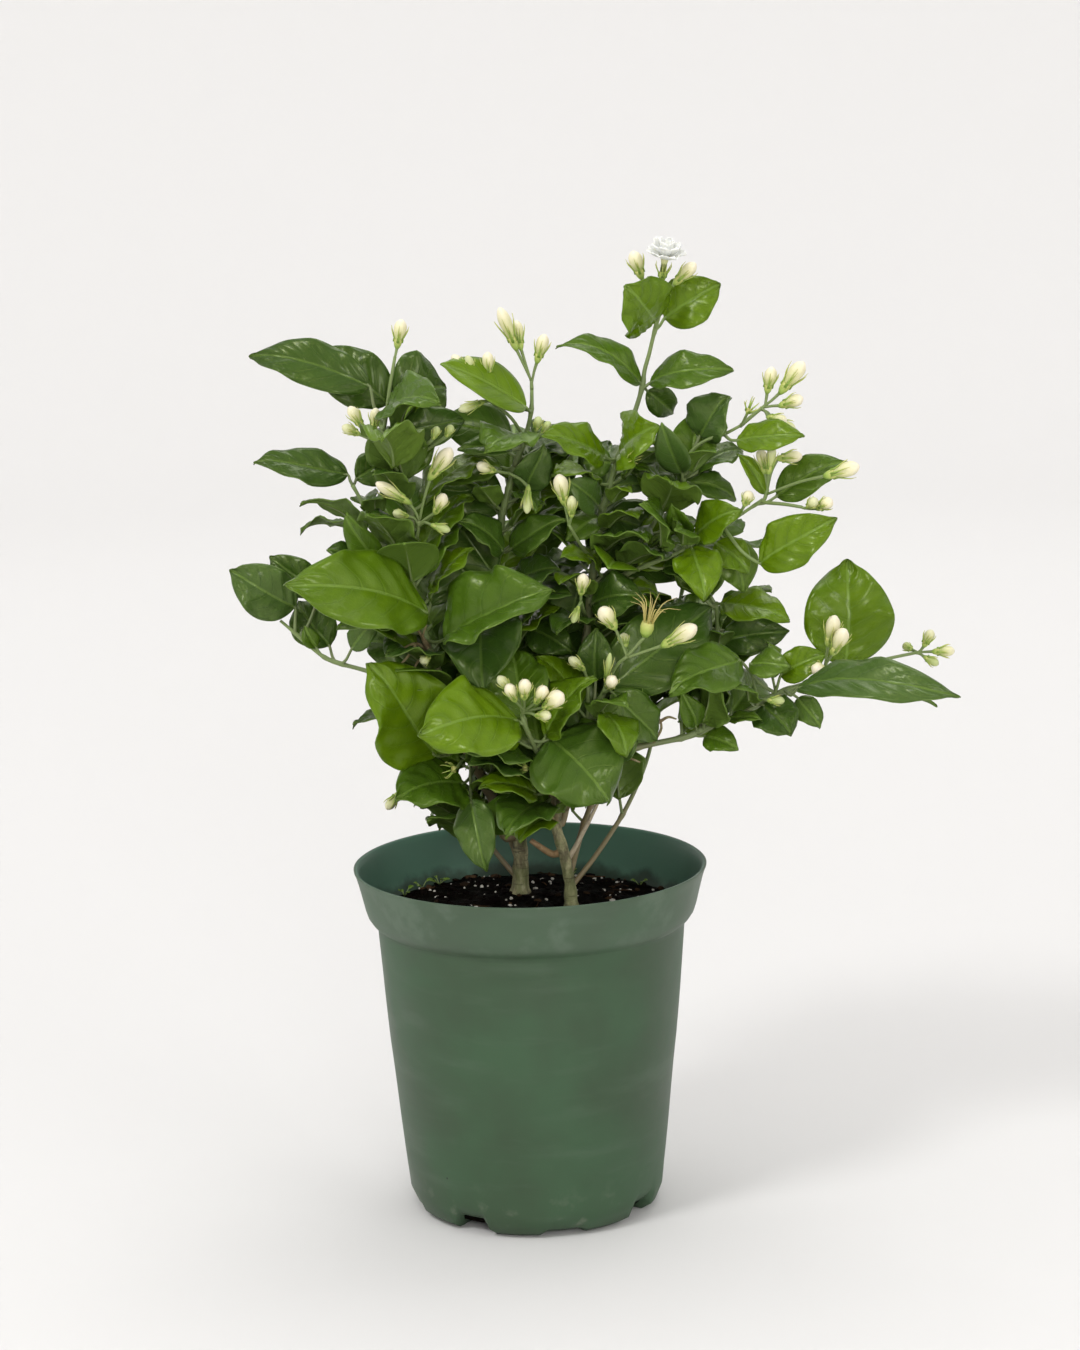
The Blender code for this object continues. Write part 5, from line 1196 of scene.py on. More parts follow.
def addLeaf(bm, layers, shape, thickness=leafForm["thickness"]):
    length = (shape["tip"] - shape["base"]).length / mm
    rows = int(clamp(length * 0.7, 12, 34))
    columns = 14 if shape["width"] > 13 else 8
    # the leaf's tone and grey carry painted light, shade and sheen along with its own colour
    tone, grey = leafTonesAndLight[shape["look"]]
    made = bmesh.ops.create_grid(bm, x_segments=rows, y_segments=columns, size=1)["verts"]
    for vert in made:
        u = 0.5 - 0.5 * math.cos(math.pi * (vert.co.x + 1) / 2)
        v = math.copysign(abs(vert.co.y) ** 1.15, vert.co.y)
        vert[layers["along"]], vert[layers["across"]] = u, v
        vert[layers["offset"]] = math.copysign(shape["width"] * halfWidth(u) * abs(v), v)
        vert.co = leafPoint(shape, u, v)
    bmesh.ops.remove_doubles(bm, verts=made, dist=0.00002)
    top = [vert for vert in made if vert.is_valid]
    faces = list({face for vert in top for face in vert.link_faces})
    bmesh.ops.recalc_face_normals(bm, faces=faces)
    facing = bladeAxes(shape)[1]
    middle = max(faces, key=lambda face: face.calc_area())
    middle.normal_update()
    if middle.normal.dot(facing) < 0:
        bmesh.ops.reverse_faces(bm, faces=faces)
    for vert in top:
        vert.normal_update()
    paint(top, layers, tone=tone + 0.05 * math.sin(shape["seed"] * 3.1), grey=grey, under=0.0)
    grown = bmesh.ops.extrude_face_region(bm, geom=faces, use_keep_orig=True)["geom"]
    below = [item for item in grown if isinstance(item, bmesh.types.BMVert)]
    for vert in below:
        reach = abs(vert[layers["offset"]])
        rib = leafForm["rib"] * bump(reach, 0, 0.8) * (1 - vert[layers["along"]])
        vert.co -= vert.normal * (thickness + rib * thickness / leafForm["thickness"]) * mm
        vert[layers["under"]] = 1.0
    whole = list({face for vert in top + below for face in vert.link_faces})
    bmesh.ops.recalc_face_normals(bm, faces=whole)
    for face in whole:
        face.material_index = 1
        face.smooth = True


def addPetiole(bm, layers, shape, foot):
    base = shape["base"]
    away = (base - foot).length
    rib = [leafPoint(shape, u, 0) - bladeAxes(shape)[1] * below * mm
           for u, below in ((0.1, 0.85), (0.3, 0.75), (0.5, 0.62), (0.7, 0.5))]
    bend = foot.lerp(base, 0.5) - Vector((0, 0, 0.10 * away))
    line = smoothLine([foot, bend, base - bladeAxes(shape)[1] * 0.5 * mm] + rib, 4)
    size = leafForm["petiole"] * (0.75 + 0.25 * min(1.0, shape["width"] / 24))
    count = len(line) - 1
    radii = []
    for step in range(count + 1):  # a firm stalk that thins out along the underside of the blade
        share = 1.0 - 0.18 * min(1.0, step / 6) if step < 8 else 0.82 * (1 - (step - 8) / (count - 7))
        radii.append(size * share * mm)
    # the stalk follows its leaf's tone, painted light and shade included
    bright = 0.55 + 0.4 * leafTonesAndLight[shape["look"]][0]
    addTube(bm, layers, line, radii, 8, tone=bright, under=1.0)


rearForm = {"start": 0.42, "span": 0.56, "turn": 25, "petiole": 9, "plump": 0.66, "arch": 4, "fold": 12}


def rearLeaves(line, spec):  # opposite pairs, each turned a quarter from the last
    form, leaves, count = rearForm, [], spec["pairs"]
    for pair in range(count):
        share = form["start"] + form["span"] * pair / max(1, count - 1)
        index = min(int(share * (len(line) - 1)), len(line) - 3)
        ahead = (line[index + 2] - line[index]).normalized()
        across = ahead.cross(Vector((0, 1, 0.2))).normalized()
        turned = Matrix.Rotation(math.radians(90 * (pair % 2) + form["turn"]), 3, ahead) @ across
        length = spec["leaf"] * (1.0 - 0.12 * (pair % 2) - 0.1 * (pair == count - 1)) * mm
        for way in (-1, 1):
            out = (turned * way + ahead * 0.35 + Vector((0, 0, 0.12))).normalized()
            base = line[index] + out * form["petiole"] * mm
            leaves.append({
                "base": base, "tip": base + out * length, "face": (ahead + Vector((0, 0, 0.8))).normalized(),
                "width": length / mm * form["plump"], "arch": form["arch"], "fold": form["fold"],
                "look": "rear", "seed": pair * 4.0 + way,
            })
    return leaves


def movedRear(shape, shift):
    moved = dict(shape)
    moved["tip"] = shape["tip"] + Vector((0, 0.4 * shift, shift)) * mm
    return moved


def onCad(shapeAt, skin):
    # The leaf at the depth where the CAD solid has it, or None where the solid has no such leaf.
    best, chosen = leafForm["nearCad"], None
    for shift in leafForm["reachSteps"]:
        shape = shapeAt(shift)
        gaps = []
        for u in leafForm["stations"]:
            for v in (-0.9, 0, 0.9):
                gaps.append(skin.find_nearest(plainPoint(shape, u, v))[3] / mm)
        away = sum(gaps) / len(gaps)
        if away < best:
            best, chosen = away, shape
    if chosen and chosen.get("pose"):  # the photograph shows this leaf turned and folded further
        rise, fold, width = chosen["pose"]
        facing = chosen["face"]
        level = Vector((facing.x, facing.y, 0)).normalized()
        chosen["face"] = level * math.cos(math.radians(rise)) + Vector((0, 0, math.sin(math.radians(rise))))
        chosen["fold"], chosen["width"] = fold, width
    return chosen


def skinOf(node):
    bm = bmesh.new()
    bm.from_mesh(frame["nodes"][node].data)
    tree = BVHTree.FromBMesh(bm)
    bm.free()
    return tree


stemForm = {"sides": 10, "spacing": 2.2, "swell": 0.38, "swellReach": 1.9}
# Leaves of the inner bush, which the photograph shows only in part: opposite pairs on the same stems. Each is
# tried from the largest size down until it is clear of everything.
innerLeaves = {
    "outline": [(-67, 383), (-36, 387), (-9, 380), (13, 369), (54, 366), (81, 361), (109, 356), (113, 340),
                (99, 304), (81, 290), (108, 285), (121, 257), (116, 238), (80, 225), (52, 221), (38, 199),
                (14, 183), (-23, 166), (-41, 180), (-55, 194), (-59, 213), (-67, 247), (-58, 265), (-89, 271),
                (-102, 280), (-66, 307), (-80, 335), (-71, 358)],
    "nodeStep": 11.0, "sizes": (36, 31, 26, 21, 17), "turns": (0, 30, -30, 60, -60),
    "lifts": (0.2, 0.6, -0.25), "petiole": 7.5, "plump": 0.68, "arch": 3, "fold": 14, "clearance": 0.8,
    "skinGap": 0.3, "depth": (-58, 78), "lowest": 168,
    # their looks lean to mid and bright: painted light for the inner bush, which lies in shade
    "looks": ("dark", "dusk", "mid", "mid", "glossy", "bright", "pale"),
    # Where the backdrop shows through the bush, read on a millimetre grid: (x, z, radius).
    "openings": [(95, 342, 8), (66, 294, 5), (-7, 374, 5), (-85, 264, 5), (65, 227, 5), (-24, 317, 4),
                 (-27, 207, 4), (106, 315, 4), (53, 334, 4), (80, 328, 4), (-13, 327, 4), (-106, 283, 4),
                 (25, 186, 4), (-25, 385, 4), (115, 342, 4), (59, 369, 4), (-71, 350, 4)],
}


def asSeen(place):
    x, depth, z = place / mm
    grow = (sight["distance"] + depth) / sight["distance"]
    return sight["x"] + (x - sight["x"]) / grow, sight["z"] + (z - sight["z"]) / grow


def insideOutline(x, z, outline):
    inside = False
    for (ax, az), (bx, bz) in zip(outline, outline[1:] + outline[:1]):
        if (az > z) != (bz > z) and x < ax + (bx - ax) * (z - az) / (bz - az):
            inside = not inside
    return inside


def bladeCells(shape, margin):  # a coarse blade, a margin thick each way, for telling whether leaves touch
    points, cells = [], []
    face = bladeAxes(shape)[1]
    for layer in (-margin, margin):
        start = len(points)
        for u in (0.02, 0.25, 0.5, 0.75, 1.0):
            points += [plainPoint(shape, u, v) + face * layer * mm for v in (-1, 0, 1)]
        for row in range(4):
            for column in range(2):
                corner = start + row * 3 + column
                cells.append((corner, corner + 1, corner + 4, corner + 3))
    return points, cells


def rodCells(line, radius):  # crossed strips along a stem, a stalk or a bud
    points, cells = [], []
    for axis in (0, 1):
        start = len(points)
        for turn in framesAlong(line):
            reach = turn.col[axis].to_3d() * radius * mm
            points += [turn.translation - reach, turn.translation + reach]
        for row in range(len(line) - 1):
            corner = start + row * 2
            cells.append((corner, corner + 1, corner + 3, corner + 2))
    return points, cells


class Crowd:  # everything that a new leaf has to keep clear of
    def __init__(self):
        self.points, self.cells, self.tree = [], [], None

    def add(self, points, cells):
        start = len(self.points)
        self.points += points
        self.cells += [tuple(start + corner for corner in cell) for cell in cells]
        self.tree = None

    def touches(self, points, cells):
        if self.tree is None:
            self.tree = BVHTree.FromPolygons(self.points, self.cells)
        return bool(self.tree.overlap(BVHTree.FromPolygons(points, cells)))


def finishedCells(shape):
    points = [leafPoint(shape, row / 8, column / 2 - 1) for row in range(9) for column in range(5)]
    cells = []
    for row in range(8):
        for column in range(4):
            corner = row * 5 + column
            cells.append((corner, corner + 1, corner + 6, corner + 5))
    return points, cells


def calmLeaves(plans):  # a leaf whose relief would run into a bud or another leaf gets less of it
    crowd = Crowd()
    for spec in clusters.values():
        for base, tip, radius in spec["buds"] + spec.get("spent", []):
            crowd.add(*rodCells([atDepth(base), atDepth(tip)], radius + 0.3))
    for plan in plans.values():
        for shape in plan["shapes"]:
            for relief in (1.0, 0.65, 0.35, 0.1):
                shape["relief"] = relief
                if not crowd.touches(*finishedCells(shape)):
                    break
            crowd.add(*finishedCells(shape))


def innerShape(place, ahead, turn, way, lift, size, seed, look):
    across = ahead.cross(Vector((0, 1, 0.2))).normalized()
    turned = Matrix.Rotation(math.radians(turn), 3, ahead) @ across
    out = (turned * way + ahead * 0.3 + Vector((0, 0, lift))).normalized()
    base = place + out * innerLeaves["petiole"] * mm
    return {
        "base": base, "tip": base + out * size * mm, "face": (ahead + Vector((0, -0.25, 0.8))).normalized(),
        "width": size * innerLeaves["plump"], "arch": innerLeaves["arch"], "fold": innerLeaves["fold"],
        "look": look, "seed": seed,
    }


def fits(shape, crowd):
    low, high = innerLeaves["depth"]
    for u, v in ((0, 0), (0.5, -1), (0.5, 1), (1, 0)):
        place = plainPoint(shape, u, v)
        if not low < place.y / mm < high or place.z / mm < innerLeaves["lowest"]:
            return False
        if not insideOutline(*asSeen(place), innerLeaves["outline"]):
            return False
    for u in (0.08, 0.3, 0.5, 0.7, 0.92):
        for v in (-0.9, -0.45, 0, 0.45, 0.9):
            x, z = asSeen(plainPoint(shape, u, v))
            if any(math.hypot(x - gapX, z - gapZ) < reach for gapX, gapZ, reach in innerLeaves["openings"]):
                return False
    return not crowd.touches(*bladeCells(shape, innerLeaves["clearance"]))


def addInnerLeaves(plans, lines, crowd):
    dice = random.Random(11)
    options = list(itertools.product(innerLeaves["sizes"], innerLeaves["turns"], innerLeaves["lifts"]))
    count = 0
    for node, plan in plans.items():
        line = lines[node]
        step = int(innerLeaves["nodeStep"] / fineStep)
        for number, index in enumerate(range(int(0.14 * len(line)), len(line) - 3, step)):
            ahead = (line[index + 2] - line[index]).normalized()
            for way in (-1, 1):
                look = dice.choice(innerLeaves["looks"])
                seed = dice.uniform(0, 20)
                for size, turn, lift in options:
                    turn += 90 * (number % 2)
                    shape = innerShape(line[index], ahead, turn, way, lift, size, seed, look)
                    if fits(shape, crowd):
                        plan["shapes"].append(shape)
                        plan["feet"].append(line[index])
                        crowd.add(*bladeCells(shape, innerLeaves["skinGap"]))
                        count += 1
                        break
    print("inner leaves:", count)


def childLine(points, parentLine, steps=6):
    joint = nearestOn(parentLine, points[0])
    rest = points if (joint - points[0]).length > 1 * mm else points[1:]
    return smoothLine([joint] + rest, steps)


def planStem(node, spec, lines):  # its route, and its leaves at the depths where the CAD solid has them
    parent = spec["parent"]
    line = childLine([atDepth(point) for point in spec["path"]], lines[parent])
    lines[node] = evenLine(line, fineStep)
    rear = "pairs" in spec
    if rear:
        parentRadius = trunks[parent]["radius"][1]
        own = lines[node][round((parentRadius + 0.5) / fineStep):]
        wanted = [lambda shift, shape=shape: movedRear(shape, shift) for shape in rearLeaves(own, spec)]
    else:
        wanted = [lambda shift, leaf=leaf: leafShape(leaf, shift * 0.5, shift) for leaf in spec["leaves"]]
    skin = skinOf(node)
    shapes = [onCad(shapeAt, skin) for shapeAt in wanted]
    missing = sum(shape is None for shape in shapes)
    if missing:
        print(node, "has", missing, "leaves fewer than listed")
    lowest = leafForm["rearLowest"] * mm if rear else 0.0
    shapes = [shape for shape in shapes if shape and shape["tip"].z >= lowest]
    back = leafForm["footBack"] * mm
    feet = [nearestOn(lines[node], shape["base"] - (shape["tip"] - shape["base"]).normalized() * back)
            for shape in shapes]
    return {"line": line, "shapes": shapes, "feet": feet}


def makeStem(node, spec, plan, materials):
    bm, layers = newMesh()
    run = evenLine(plan["line"], stemForm["spacing"])
    first, last = spec["radius"]
    radii = []
    for step, place in enumerate(run):
        girth = first + (last - first) * step / (len(run) - 1)
        away = min([(place - foot).length / mm for foot in plan["feet"]], default=100.0)
        near = bump(away, 0, stemForm["swellReach"])
        radii.append(girth * (1 + stemForm["swell"] * near) * mm)
    woodiness = 0.15 if spec["parent"].startswith("trunk") else 0.6
    addTube(bm, layers, run, radii, stemForm["sides"],
            tone=lambda share: woodiness + (1.0 - woodiness) * 0.75 * softStep(0.1, 1.0, share))
    for shape, foot in zip(plan["shapes"], plan["feet"]):
        addLeaf(bm, layers, shape)
        addPetiole(bm, layers, shape, foot)
    finishPiece(pieceName(node), bm, materials, node)


def makeStems(lines, materials):
    specs = {**leafyStems, **rearStems}
    plans = {node: planStem(node, spec, lines) for node, spec in specs.items()}
    crowd = Crowd()
    for node, plan in plans.items():
        crowd.add(*rodCells(lines[node][20::8], 1.6))
        for shape in plan["shapes"]:
            crowd.add(*bladeCells(shape, innerLeaves["skinGap"]))
    for spec in clusters.values():
        for base, tip, radius in spec["buds"] + spec.get("spent", []):
            crowd.add(*rodCells([atDepth(base), atDepth(tip)], radius + 1.5))
    addInnerLeaves(plans, lines, crowd)
    calmLeaves(plans)
    for node, spec in specs.items():
        makeStem(node, spec, plans[node], materials)


budForm = {
    "head": [(0.14, 0.36), (0.24, 0.46), (0.34, 0.58), (0.45, 0.76), (0.56, 0.90), (0.67, 0.96), (0.77, 0.92),
             (0.86, 0.76), (0.93, 0.50), (0.98, 0.22)],
    "cup": [(-0.04, 0.22), (0.04, 0.42), (0.12, 0.56), (0.22, 0.62), (0.30, 0.60)],
    "teeth": 8, "toothRadius": 0.36, "sides": 20, "spiral": 2.6, "folds": 5, "foldDepth": 0.15,
    "pedicel": 0.62, "stalk": (0.95, 0.75), "young": (0.330, 0.430, 0.110),
}
budLooks = {  # the colours at the foot, in the middle and at the tip, and the roughness
    "calyxGreen": ((0.190, 0.310, 0.040), (0.330, 0.430, 0.080), (0.480, 0.470, 0.140), 0.5),
    "creamPetal": ((0.330, 0.400, 0.090), (0.660, 0.640, 0.340), (0.800, 0.730, 0.560), 0.5),
    "dryThread": ((0.480, 0.300, 0.090), (0.620, 0.420, 0.160), (0.520, 0.300, 0.110), 0.6),
    "whitePetal": ((0.480, 0.540, 0.290), (0.700, 0.715, 0.650), (0.800, 0.805, 0.770), 0.5),
}


def aroundAxis(base, tip):
    along = (tip - base).normalized()
    side = along.orthogonal().normalized()
    return along, side, along.cross(side)


def headGirth(share):
    places = budForm["cup"] + budForm["head"][2:] + [(1.4, 0.3)]
    for (low, thin), (high, thick) in zip(places, places[1:]):
        if share <= high:
            return thin + (thick - thin) * clamp((share - low) / (high - low))
    return places[-1][1]


def addSepals(bm, layers, base, tip, radius, reach, count, flare, tone=0.9):
    # Slim pointed sepals: each lies along the bud's head and leaves it towards its tip.
    along, side, up = aroundAxis(base, tip)
    length = (tip - base).length / mm
    for index in range(count):
        turn = 2 * math.pi * (index + 0.5) / count + 0.3 * math.sin(index * 2.7 + radius)
        out = side * math.cos(turn) + up * math.sin(turn)
        long = reach * (0.8 + 0.4 * abs(math.sin(index * 1.9 + radius)))
        line = []
        for step in range(5):
            share = 0.2 + step / 4 * long / length
            away = radius * headGirth(share) + 0.12 + flare * (step / 4) ** 2 * long
            line.append(base + along * share * length * mm + out * away * mm)
        radii = [budForm["toothRadius"] * girth * mm for girth in (1.2, 1.1, 0.9, 0.65, 0.2)]
        addTube(bm, layers, line, radii, 4, 1, tone=tone)


def addPedicel(bm, layers, joint, base, girth, tone=0.85):  # the short stalk of a flower or a bare calyx
    line = smoothLine([joint, joint.lerp(base, 0.5), base], 3)
    addTube(bm, layers, line, [girth * mm] * len(line), 8, 0, tone=tone)


def addCup(bm, layers, base, tip, radius, tone):
    cup = [base.lerp(tip, share) for share, _ in budForm["cup"]]
    addTube(bm, layers, cup, [radius * girth * mm for _, girth in budForm["cup"]], 12, 1, tone=tone)


def addBud(bm, layers, joint, base, tip, radius, back):
    along = (tip - base).normalized()
    length = (tip - base).length
    ripe = softStep(1.9, 2.9, radius)
    bend = joint.lerp(base, 0.55) - along * 0.6 * mm
    pedicel = smoothLine([joint + back, bend, base + along * 0.05 * length], 4)
    count = len(pedicel)
    girths = [budForm["pedicel"] * (1 + 0.35 * (step / (count - 1)) ** 3) * mm for step in range(count)]
    addTube(bm, layers, pedicel, girths, 8, 0, tone=0.85)
    addCup(bm, layers, base, tip, radius, 0.75)
    head = [base.lerp(tip, share) for share, _ in budForm["head"]]
    folds, spiral, depth = budForm["folds"], budForm["spiral"], budForm["foldDepth"]

    def petals(share, turn):
        ridge = (0.5 + 0.5 * math.cos(folds * turn + spiral * share * 2)) ** 5
        return 1 - depth * ridge * softStep(0.35, 0.6, share)

    addTube(bm, layers, head, [radius * girth * mm for _, girth in budForm["head"]], budForm["sides"], 2,
            relief=petals, tone=ripe)
    teeth = budForm["teeth"] if radius >= 2.4 else 6
    addSepals(bm, layers, base, tip, radius, 0.52 * length / mm, teeth, 0.14)


flowerForm = {
    "rings": [
        {"petals": 7, "turn": 0.0, "height": 0.6, "root": 1.8, "lift": 0.55, "share": 1.02, "width": 7.4},
        {"petals": 6, "turn": 0.5, "height": 1.4, "root": 1.4, "lift": 1.2, "share": 1.05, "width": 7.0},
        {"petals": 4, "turn": 0.2, "height": 2.0, "root": 0.8, "lift": 3.0, "share": 0.95, "width": 5.6},
    ],
    "cup": 1.5, "ruffle": 0.4,
}


def addPetal(bm, layers, root, end, face, width, seed):
    made = bmesh.ops.create_grid(bm, x_segments=12, y_segments=8, size=1)["verts"]
    along = end - root
    face = (face - along * (face.dot(along) / along.length_squared)).normalized()
    side = along.normalized().cross(face)
    for vert in made:
        u, v = (vert.co.x + 1) / 2, vert.co.y
        half = 0.5 * width * math.sin(math.pi * (0.06 + 0.90 * u) ** 0.9) ** 0.6
        lift = flowerForm["cup"] * (v * v * 0.8 - 4 * u * (1 - u) * 0.5) - 1.0 * softStep(0.7, 1.0, u)
        lift += flowerForm["ruffle"] * math.sin(5 * u + 3 * v + seed) * u
        vert[layers["along"]], vert[layers["across"]] = 0.5 + 0.5 * u, v
        vert.co = root + along * u + (side * half * v + face * lift) * mm
    faces = list({face for vert in made for face in vert.link_faces})
    bmesh.ops.recalc_face_normals(bm, faces=faces)
    for vert in made:
        vert.normal_update()
    grown = bmesh.ops.extrude_face_region(bm, geom=faces, use_keep_orig=True)["geom"]
    below = [item for item in grown if isinstance(item, bmesh.types.BMVert)]
    for vert in below:
        vert.co -= vert.normal * 0.3 * mm
    whole = list({face for vert in made + below for face in vert.link_faces})
    bmesh.ops.recalc_face_normals(bm, faces=whole)
    paint(made + below, layers, tone=1.0)
    for face in whole:
        face.material_index = 4
        face.smooth = True


def addFlower(bm, layers, joint, base, mouth, reach):
    along, side, up = aroundAxis(base, mouth)
    addPedicel(bm, layers, joint, base, 0.7)
    length = (mouth - base).length / mm
    heart = [(0.0, 0.7), (0.1, 1.5), (0.3, 1.9), (0.45, 1.5), (0.8, 1.4), (1.0, 1.9), (1.15, 2.2), (1.3, 1.4)]
    line = [base + along * share * length * mm for share, _ in heart]
    addTube(bm, layers, line[:5], [girth * mm for _, girth in heart[:5]], 12, 1, tone=0.75)
    addTube(bm, layers, line[3:], [girth * mm for _, girth in heart[3:]], 12, 2, tone=0.9)
    addSepals(bm, layers, base, mouth, 2.6, 6.5, 8, 0.25)
    for ring in flowerForm["rings"]:
        for index in range(ring["petals"]):
            turn = 2 * math.pi * (index + ring["turn"]) / ring["petals"]
            out = side * math.cos(turn) + up * math.sin(turn)
            root = mouth + (along * ring["height"] + out * ring["root"]) * mm
            size = ring["share"] * (0.94 + 0.06 * math.sin(index * 2.1))
            end = root + (out + along * ring["lift"]).normalized() * reach * size * mm
            face = along - out * 0.3 * ring["lift"]
            addPetal(bm, layers, root, end, face, ring["width"], index + ring["turn"])


def addSpent(bm, layers, joint, base, tip, radius):
    # A flower that has dropped: its calyx keeps long dry teeth and bare threads.
    along, side, up = aroundAxis(base, tip)
    addPedicel(bm, layers, joint, base, 0.75)
    cup = [(0.0, 0.45), (2.0, 0.8), (4.5, 0.95), (7.0, 0.8)]
    addTube(bm, layers, [base + along * height * mm for height, _ in cup],
            [radius * girth * mm for _, girth in cup], 12, 1, tone=0.9)
    length = (tip - base).length / mm
    threads = 15
    for index in range(threads):
        turn = 2 * math.pi * index / threads * 2.4
        out = side * math.cos(turn) + up * math.sin(turn)
        spread = 0.18 + 0.62 * ((index * 4) % threads) / threads
        reach = length * (0.62 + 0.3 * abs(math.sin(index * 1.3)))
        root = base + (along * 5 + out * 0.45 * radius) * mm
        middle = root + (along * 0.55 * reach + out * spread * 0.35 * reach) * mm
        end = root + (along * (reach - 5) + out * spread * reach) * mm
        line = smoothLine([root, middle, end], 3)
        addTube(bm, layers, line, tapered(line, 0.42, 0.084), 4, 3, tone=0.5)


def makeClusters(lines, materials):
    for node, spec in clusters.items():
        stalk = childLine([atDepth(point) for point in spec["stalk"]], lines[spec["parent"]], 4)
        bm, layers = newMesh()
        addTube(bm, layers, stalk, tapered(stalk, *budForm["stalk"]), 8, 0, tone=0.85)
        back = (stalk[-2] - stalk[-1]).normalized()
        for index, (base, tip, radius) in enumerate(spec["buds"]):
            away = back * (0.3 + 0.7 * index) * mm
            addBud(bm, layers, stalk[-1], atDepth(base), atDepth(tip), radius, away)
        for base, tip, radius in spec.get("spent", []):
            addSpent(bm, layers, stalk[-1], atDepth(base), atDepth(tip), radius)
        if "flower" in spec:
            base, mouth, reach = spec["flower"]
            addFlower(bm, layers, stalk[-1], atDepth(base), atDepth(mouth), reach)
        finishPiece(pieceName(node), bm, materials, node)


# Small things between the leaves: late buds, bare calyces and dried remains of old flowers.
strays = {
    "buds": [  # joint, base, tip and radius
        ((-46, 26, 214), (-60, 24, 198), (-66, 23, 190), 2.5),
        ((-55, -11, 350), (-40, -21, 362), (-37.5, -22, 368), 2.0),
        ((-55, -11, 350), (-34, -20, 363), (-31, -21, 368.5), 2.0),
        ((-45, -11, 266), (-44, -22, 262), (-48, -25, 259), 2.3),
        ((20, -12, 204), (27, -24, 214), (31, -28, 217), 2.1),
        ((5, -3, 374), (-6, -12, 377), (-10, -15, 380), 2.2),
    ],
    "calyces": [
        ((-27, 0, 217), (-33, -19, 209), (-38, -23, 208), 2.4),
        ((6, -22, 210), (0, -30, 208), (-5, -34, 209), 2.4),
        ((45, 2, 353), (48, -12, 350), (52, -15, 352), 2.0),
        ((100, -9, 365), (103, -16, 371), (106, -19, 376), 2.3),
    ],
    "dried": [
        [(-43, -11, 263), (-50, -16, 268), (-57, -18, 266), (-60, -19, 271)],
        [(-44, -12, 266), (-49, -19, 274), (-53, -20, 279)],
        [(-44, -12, 264), (-47, -20, 270), (-45, -22, 277)],
        [(-50, -16, 268), (-54, -20, 262), (-58, -21, 258)],
        [(-43, -12, 262), (-49, -18, 260), (-52, -20, 255)],
        [(41, -5, 214), (47, -8, 212), (52, -9, 210)],
        [(58, -5, 219), (62, -8, 226), (60, -9, 233)],
        [(60, -8, 228), (65, -9, 231), (69, -9, 230)],
        [(12.5, -6, 182), (9, -13, 186), (4, -16, 184)],
    ],
    "driedRadius": (0.9, 0.35), "calyxReach": 5.5,
}


def makeStrays(barkMaterial, budMaterials):
    bm, layers = newMesh()
    still = Vector((0, 0, 0))
    for joint, base, tip, radius in strays["buds"]:
        addBud(bm, layers, atDepth(joint), atDepth(base), atDepth(tip), radius, still)
    for joint, base, tip, radius in strays["calyces"]:
        joint, base, tip = atDepth(joint), atDepth(base), atDepth(tip)
        addPedicel(bm, layers, joint, base, 0.65, 0.9)
        addCup(bm, layers, base, tip, radius, 0.95)
        addSepals(bm, layers, base, tip, radius, strays["calyxReach"], 8, 0.45)
    finishPiece("lateBuds", bm, budMaterials)
    bm, layers = newMesh()
    for points in strays["dried"]:
        line = smoothLine([atDepth(point) for point in points], 4)
        addTube(bm, layers, line, tapered(line, *strays["driedRadius"]), 6, tone=0.45)
    finishPiece("driedTwigs", bm, [barkMaterial])


weeds = {
    "sprigs": [(-60, 33, 4), (-44, 54, 5), (-52, 44, 3), (52, 42, 3), (-66, -8, 3), (20, 66, 3)],
    "leaf": (1.7, 3.2), "stalk": 0.25,
}


def makeWeeds(materials):
    dice = random.Random(5)
    bm, layers = newMesh()
    for x, y, count in weeds["sprigs"]:
        ground = Vector((x, y, mixHeight(x, y) - 0.4)) * mm
        for index in range(count):
            turn = 2 * math.pi * index / count + dice.random()
            lean = Vector((math.cos(turn), math.sin(turn), dice.uniform(0.8, 1.8))).normalized()
            top = ground + lean * dice.uniform(2.5, 5.0) * mm
            addTube(bm, layers, [ground, ground.lerp(top, 0.5), top], [weeds["stalk"] * mm] * 3, 5, tone=0.9)
            size = dice.uniform(*weeds["leaf"])
            out = Vector((math.cos(turn), math.sin(turn), 0.3)).normalized()
            addLeaf(bm, layers, {
                "base": top, "tip": top + out * size * mm, "face": Vector((0.0, -0.2, 1.0)).normalized(),
                "width": size * 0.75, "arch": 0.3, "fold": 14, "look": "glossy", "seed": turn, "relief": 0.2,
            }, 0.18)
    finishPiece("tinyWeeds", bm, materials)


lines = {}
leafMaterial, stemMaterial = makeLeafMaterial(), makeStemMaterial()
budMaterials = [stemMaterial] + [makeBudMaterial(name, *look) for name, look in budLooks.items()]
barkMaterial = makeBarkMaterial()
makeTrunks(lines, barkMaterial)
print("trunks made")
makeStems(lines, [stemMaterial, leafMaterial])
print("leafy stems made")
makeClusters(lines, budMaterials)
makeStrays(barkMaterial, budMaterials)
makeWeeds([stemMaterial, leafMaterial])
print("buds and flower made")


# Studio: a pale floor that curves up all round, soft lights and the photograph's camera.
studio = {
    "flat": 2300, "bend": 1200, "top": 3600, "segments": 96,  # the floor, in millimetres
    "near": (0.70, 0.69, 0.68), "far": (0.86, 0.85, 0.84), "fade": (0.3, 2.4), "worldStrength": 0.84,
    "lights": {  # place, aim, size and power
        "softKey": ((-1.5, -1.5, 2.3), (0, 0, 0.25), 0.8, 33),
        "softFront": ((0.3, -2.3, 0.9), (0, 0, 0.25), 0.7, 13),
        "softFill": ((1.9, -1.8, 1.2), (0, 0, 0.2), 1.6, 9),
        "softTop": ((0.3, 0.8, 2.4), (0, 0, 0.25), 1.4, 16),
    },
}


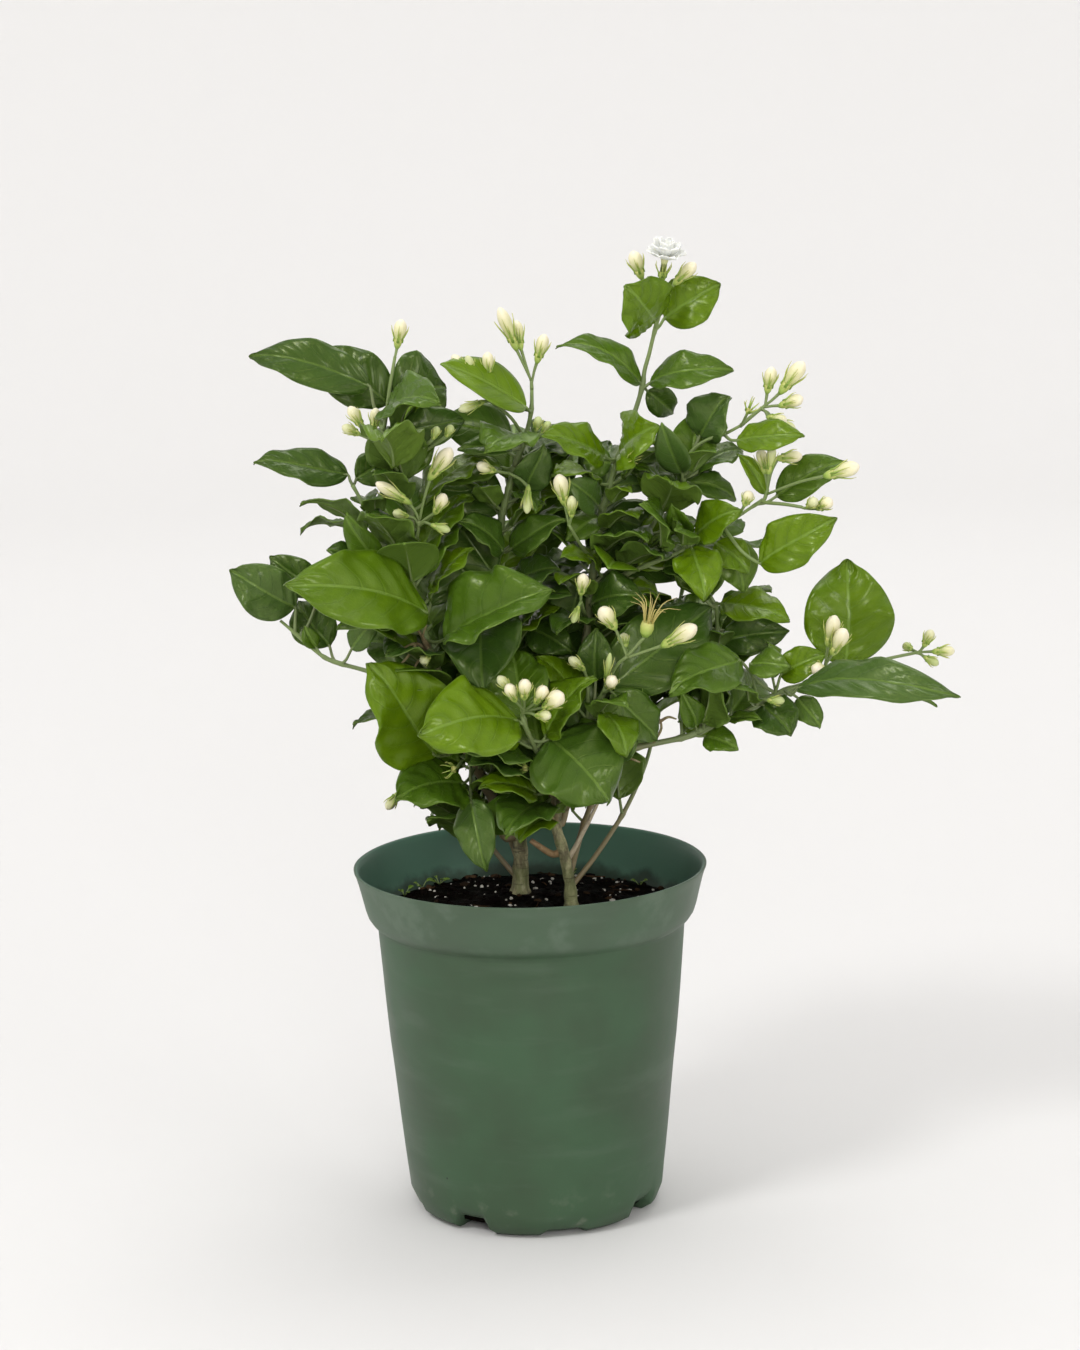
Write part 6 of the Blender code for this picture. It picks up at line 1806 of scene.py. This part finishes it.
def makeFloorMaterial():  # it pales away from the pot: painted shade near the pot and painted light far off, evening out the light that falls on it
    material, tree, shader = newMaterial("paleFloor", Roughness=0.9)
    place = addNode(tree, "SeparateXYZ", {"Vector": objectPlace(tree)}).outputs
    squares = calc(tree, "MULTIPLY_ADD", place["X"], place["X"], times(tree, place["Y"], place["Y"]))
    cloud = calc(tree, "MULTIPLY_ADD", noiseOn(tree, 0.8, 2.0), 0.06, -0.03)
    reach = ranged(tree, calc(tree, "SQRT", squares), *studio["fade"])
    share = calc(tree, "ADD", reach, cloud, clamped=True)
    feed(tree, shader, Base_Color=mixed(tree, share, studio["near"], studio["far"]))
    return material


def makeFloor():
    flat, bend = studio["flat"], studio["bend"]
    turns = [math.pi / 2 * step / 16 for step in range(17)]
    profile = [(0, 0)] + [(flat + bend * math.sin(turn), bend * (1 - math.cos(turn))) for turn in turns]
    bm = turnedShell(profile + [(flat + bend, studio["top"])], studio["segments"])
    mesh = bpy.data.meshes.new("floor")
    bm.to_mesh(mesh)
    bm.free()
    mesh.shade_smooth()
    mesh.materials.append(makeFloorMaterial())
    floor = bpy.data.objects.new("floor", mesh)
    bpy.context.scene.collection.objects.link(floor)


def addLight(name, place, aim, size, power):
    data = bpy.data.lights.new(name, "AREA")
    data.shape, data.size, data.energy = "DISK", size, power
    light = bpy.data.objects.new(name, data)
    light.location = place
    light.rotation_euler = (Vector(aim) - Vector(place)).to_track_quat("-Z", "Y").to_euler()
    bpy.context.scene.collection.objects.link(light)


makeFloor()
for name, settings in studio["lights"].items():
    addLight(name, *settings)
world = bpy.data.worlds.new("paleRoom")
world.use_nodes = True
background = world.node_tree.nodes["Background"]
background.inputs["Color"].default_value = (1, 1, 1, 1)
background.inputs["Strength"].default_value = studio["worldStrength"]
bpy.context.scene.world = world

photoView = {"place": (0.0065, -1.583, 0.5615), "down": 11.06, "roll": -1.2, "lens": 36 * 3506 / 1350}
cameraData = bpy.data.cameras.new("photoCamera")
cameraData.sensor_fit, cameraData.sensor_height, cameraData.lens = "VERTICAL", 36, photoView["lens"]
camera = bpy.data.objects.new("photoCamera", cameraData)
camera.matrix_world = (
    Matrix.Translation(photoView["place"])
    @ Matrix.Rotation(math.radians(90 - photoView["down"]), 4, "X")
    @ Matrix.Rotation(math.radians(photoView["roll"]), 4, "Z")
)
bpy.context.scene.collection.objects.link(camera)
bpy.context.scene.camera = camera
bpy.context.scene.view_settings.view_transform = "Standard"
print("studio made")
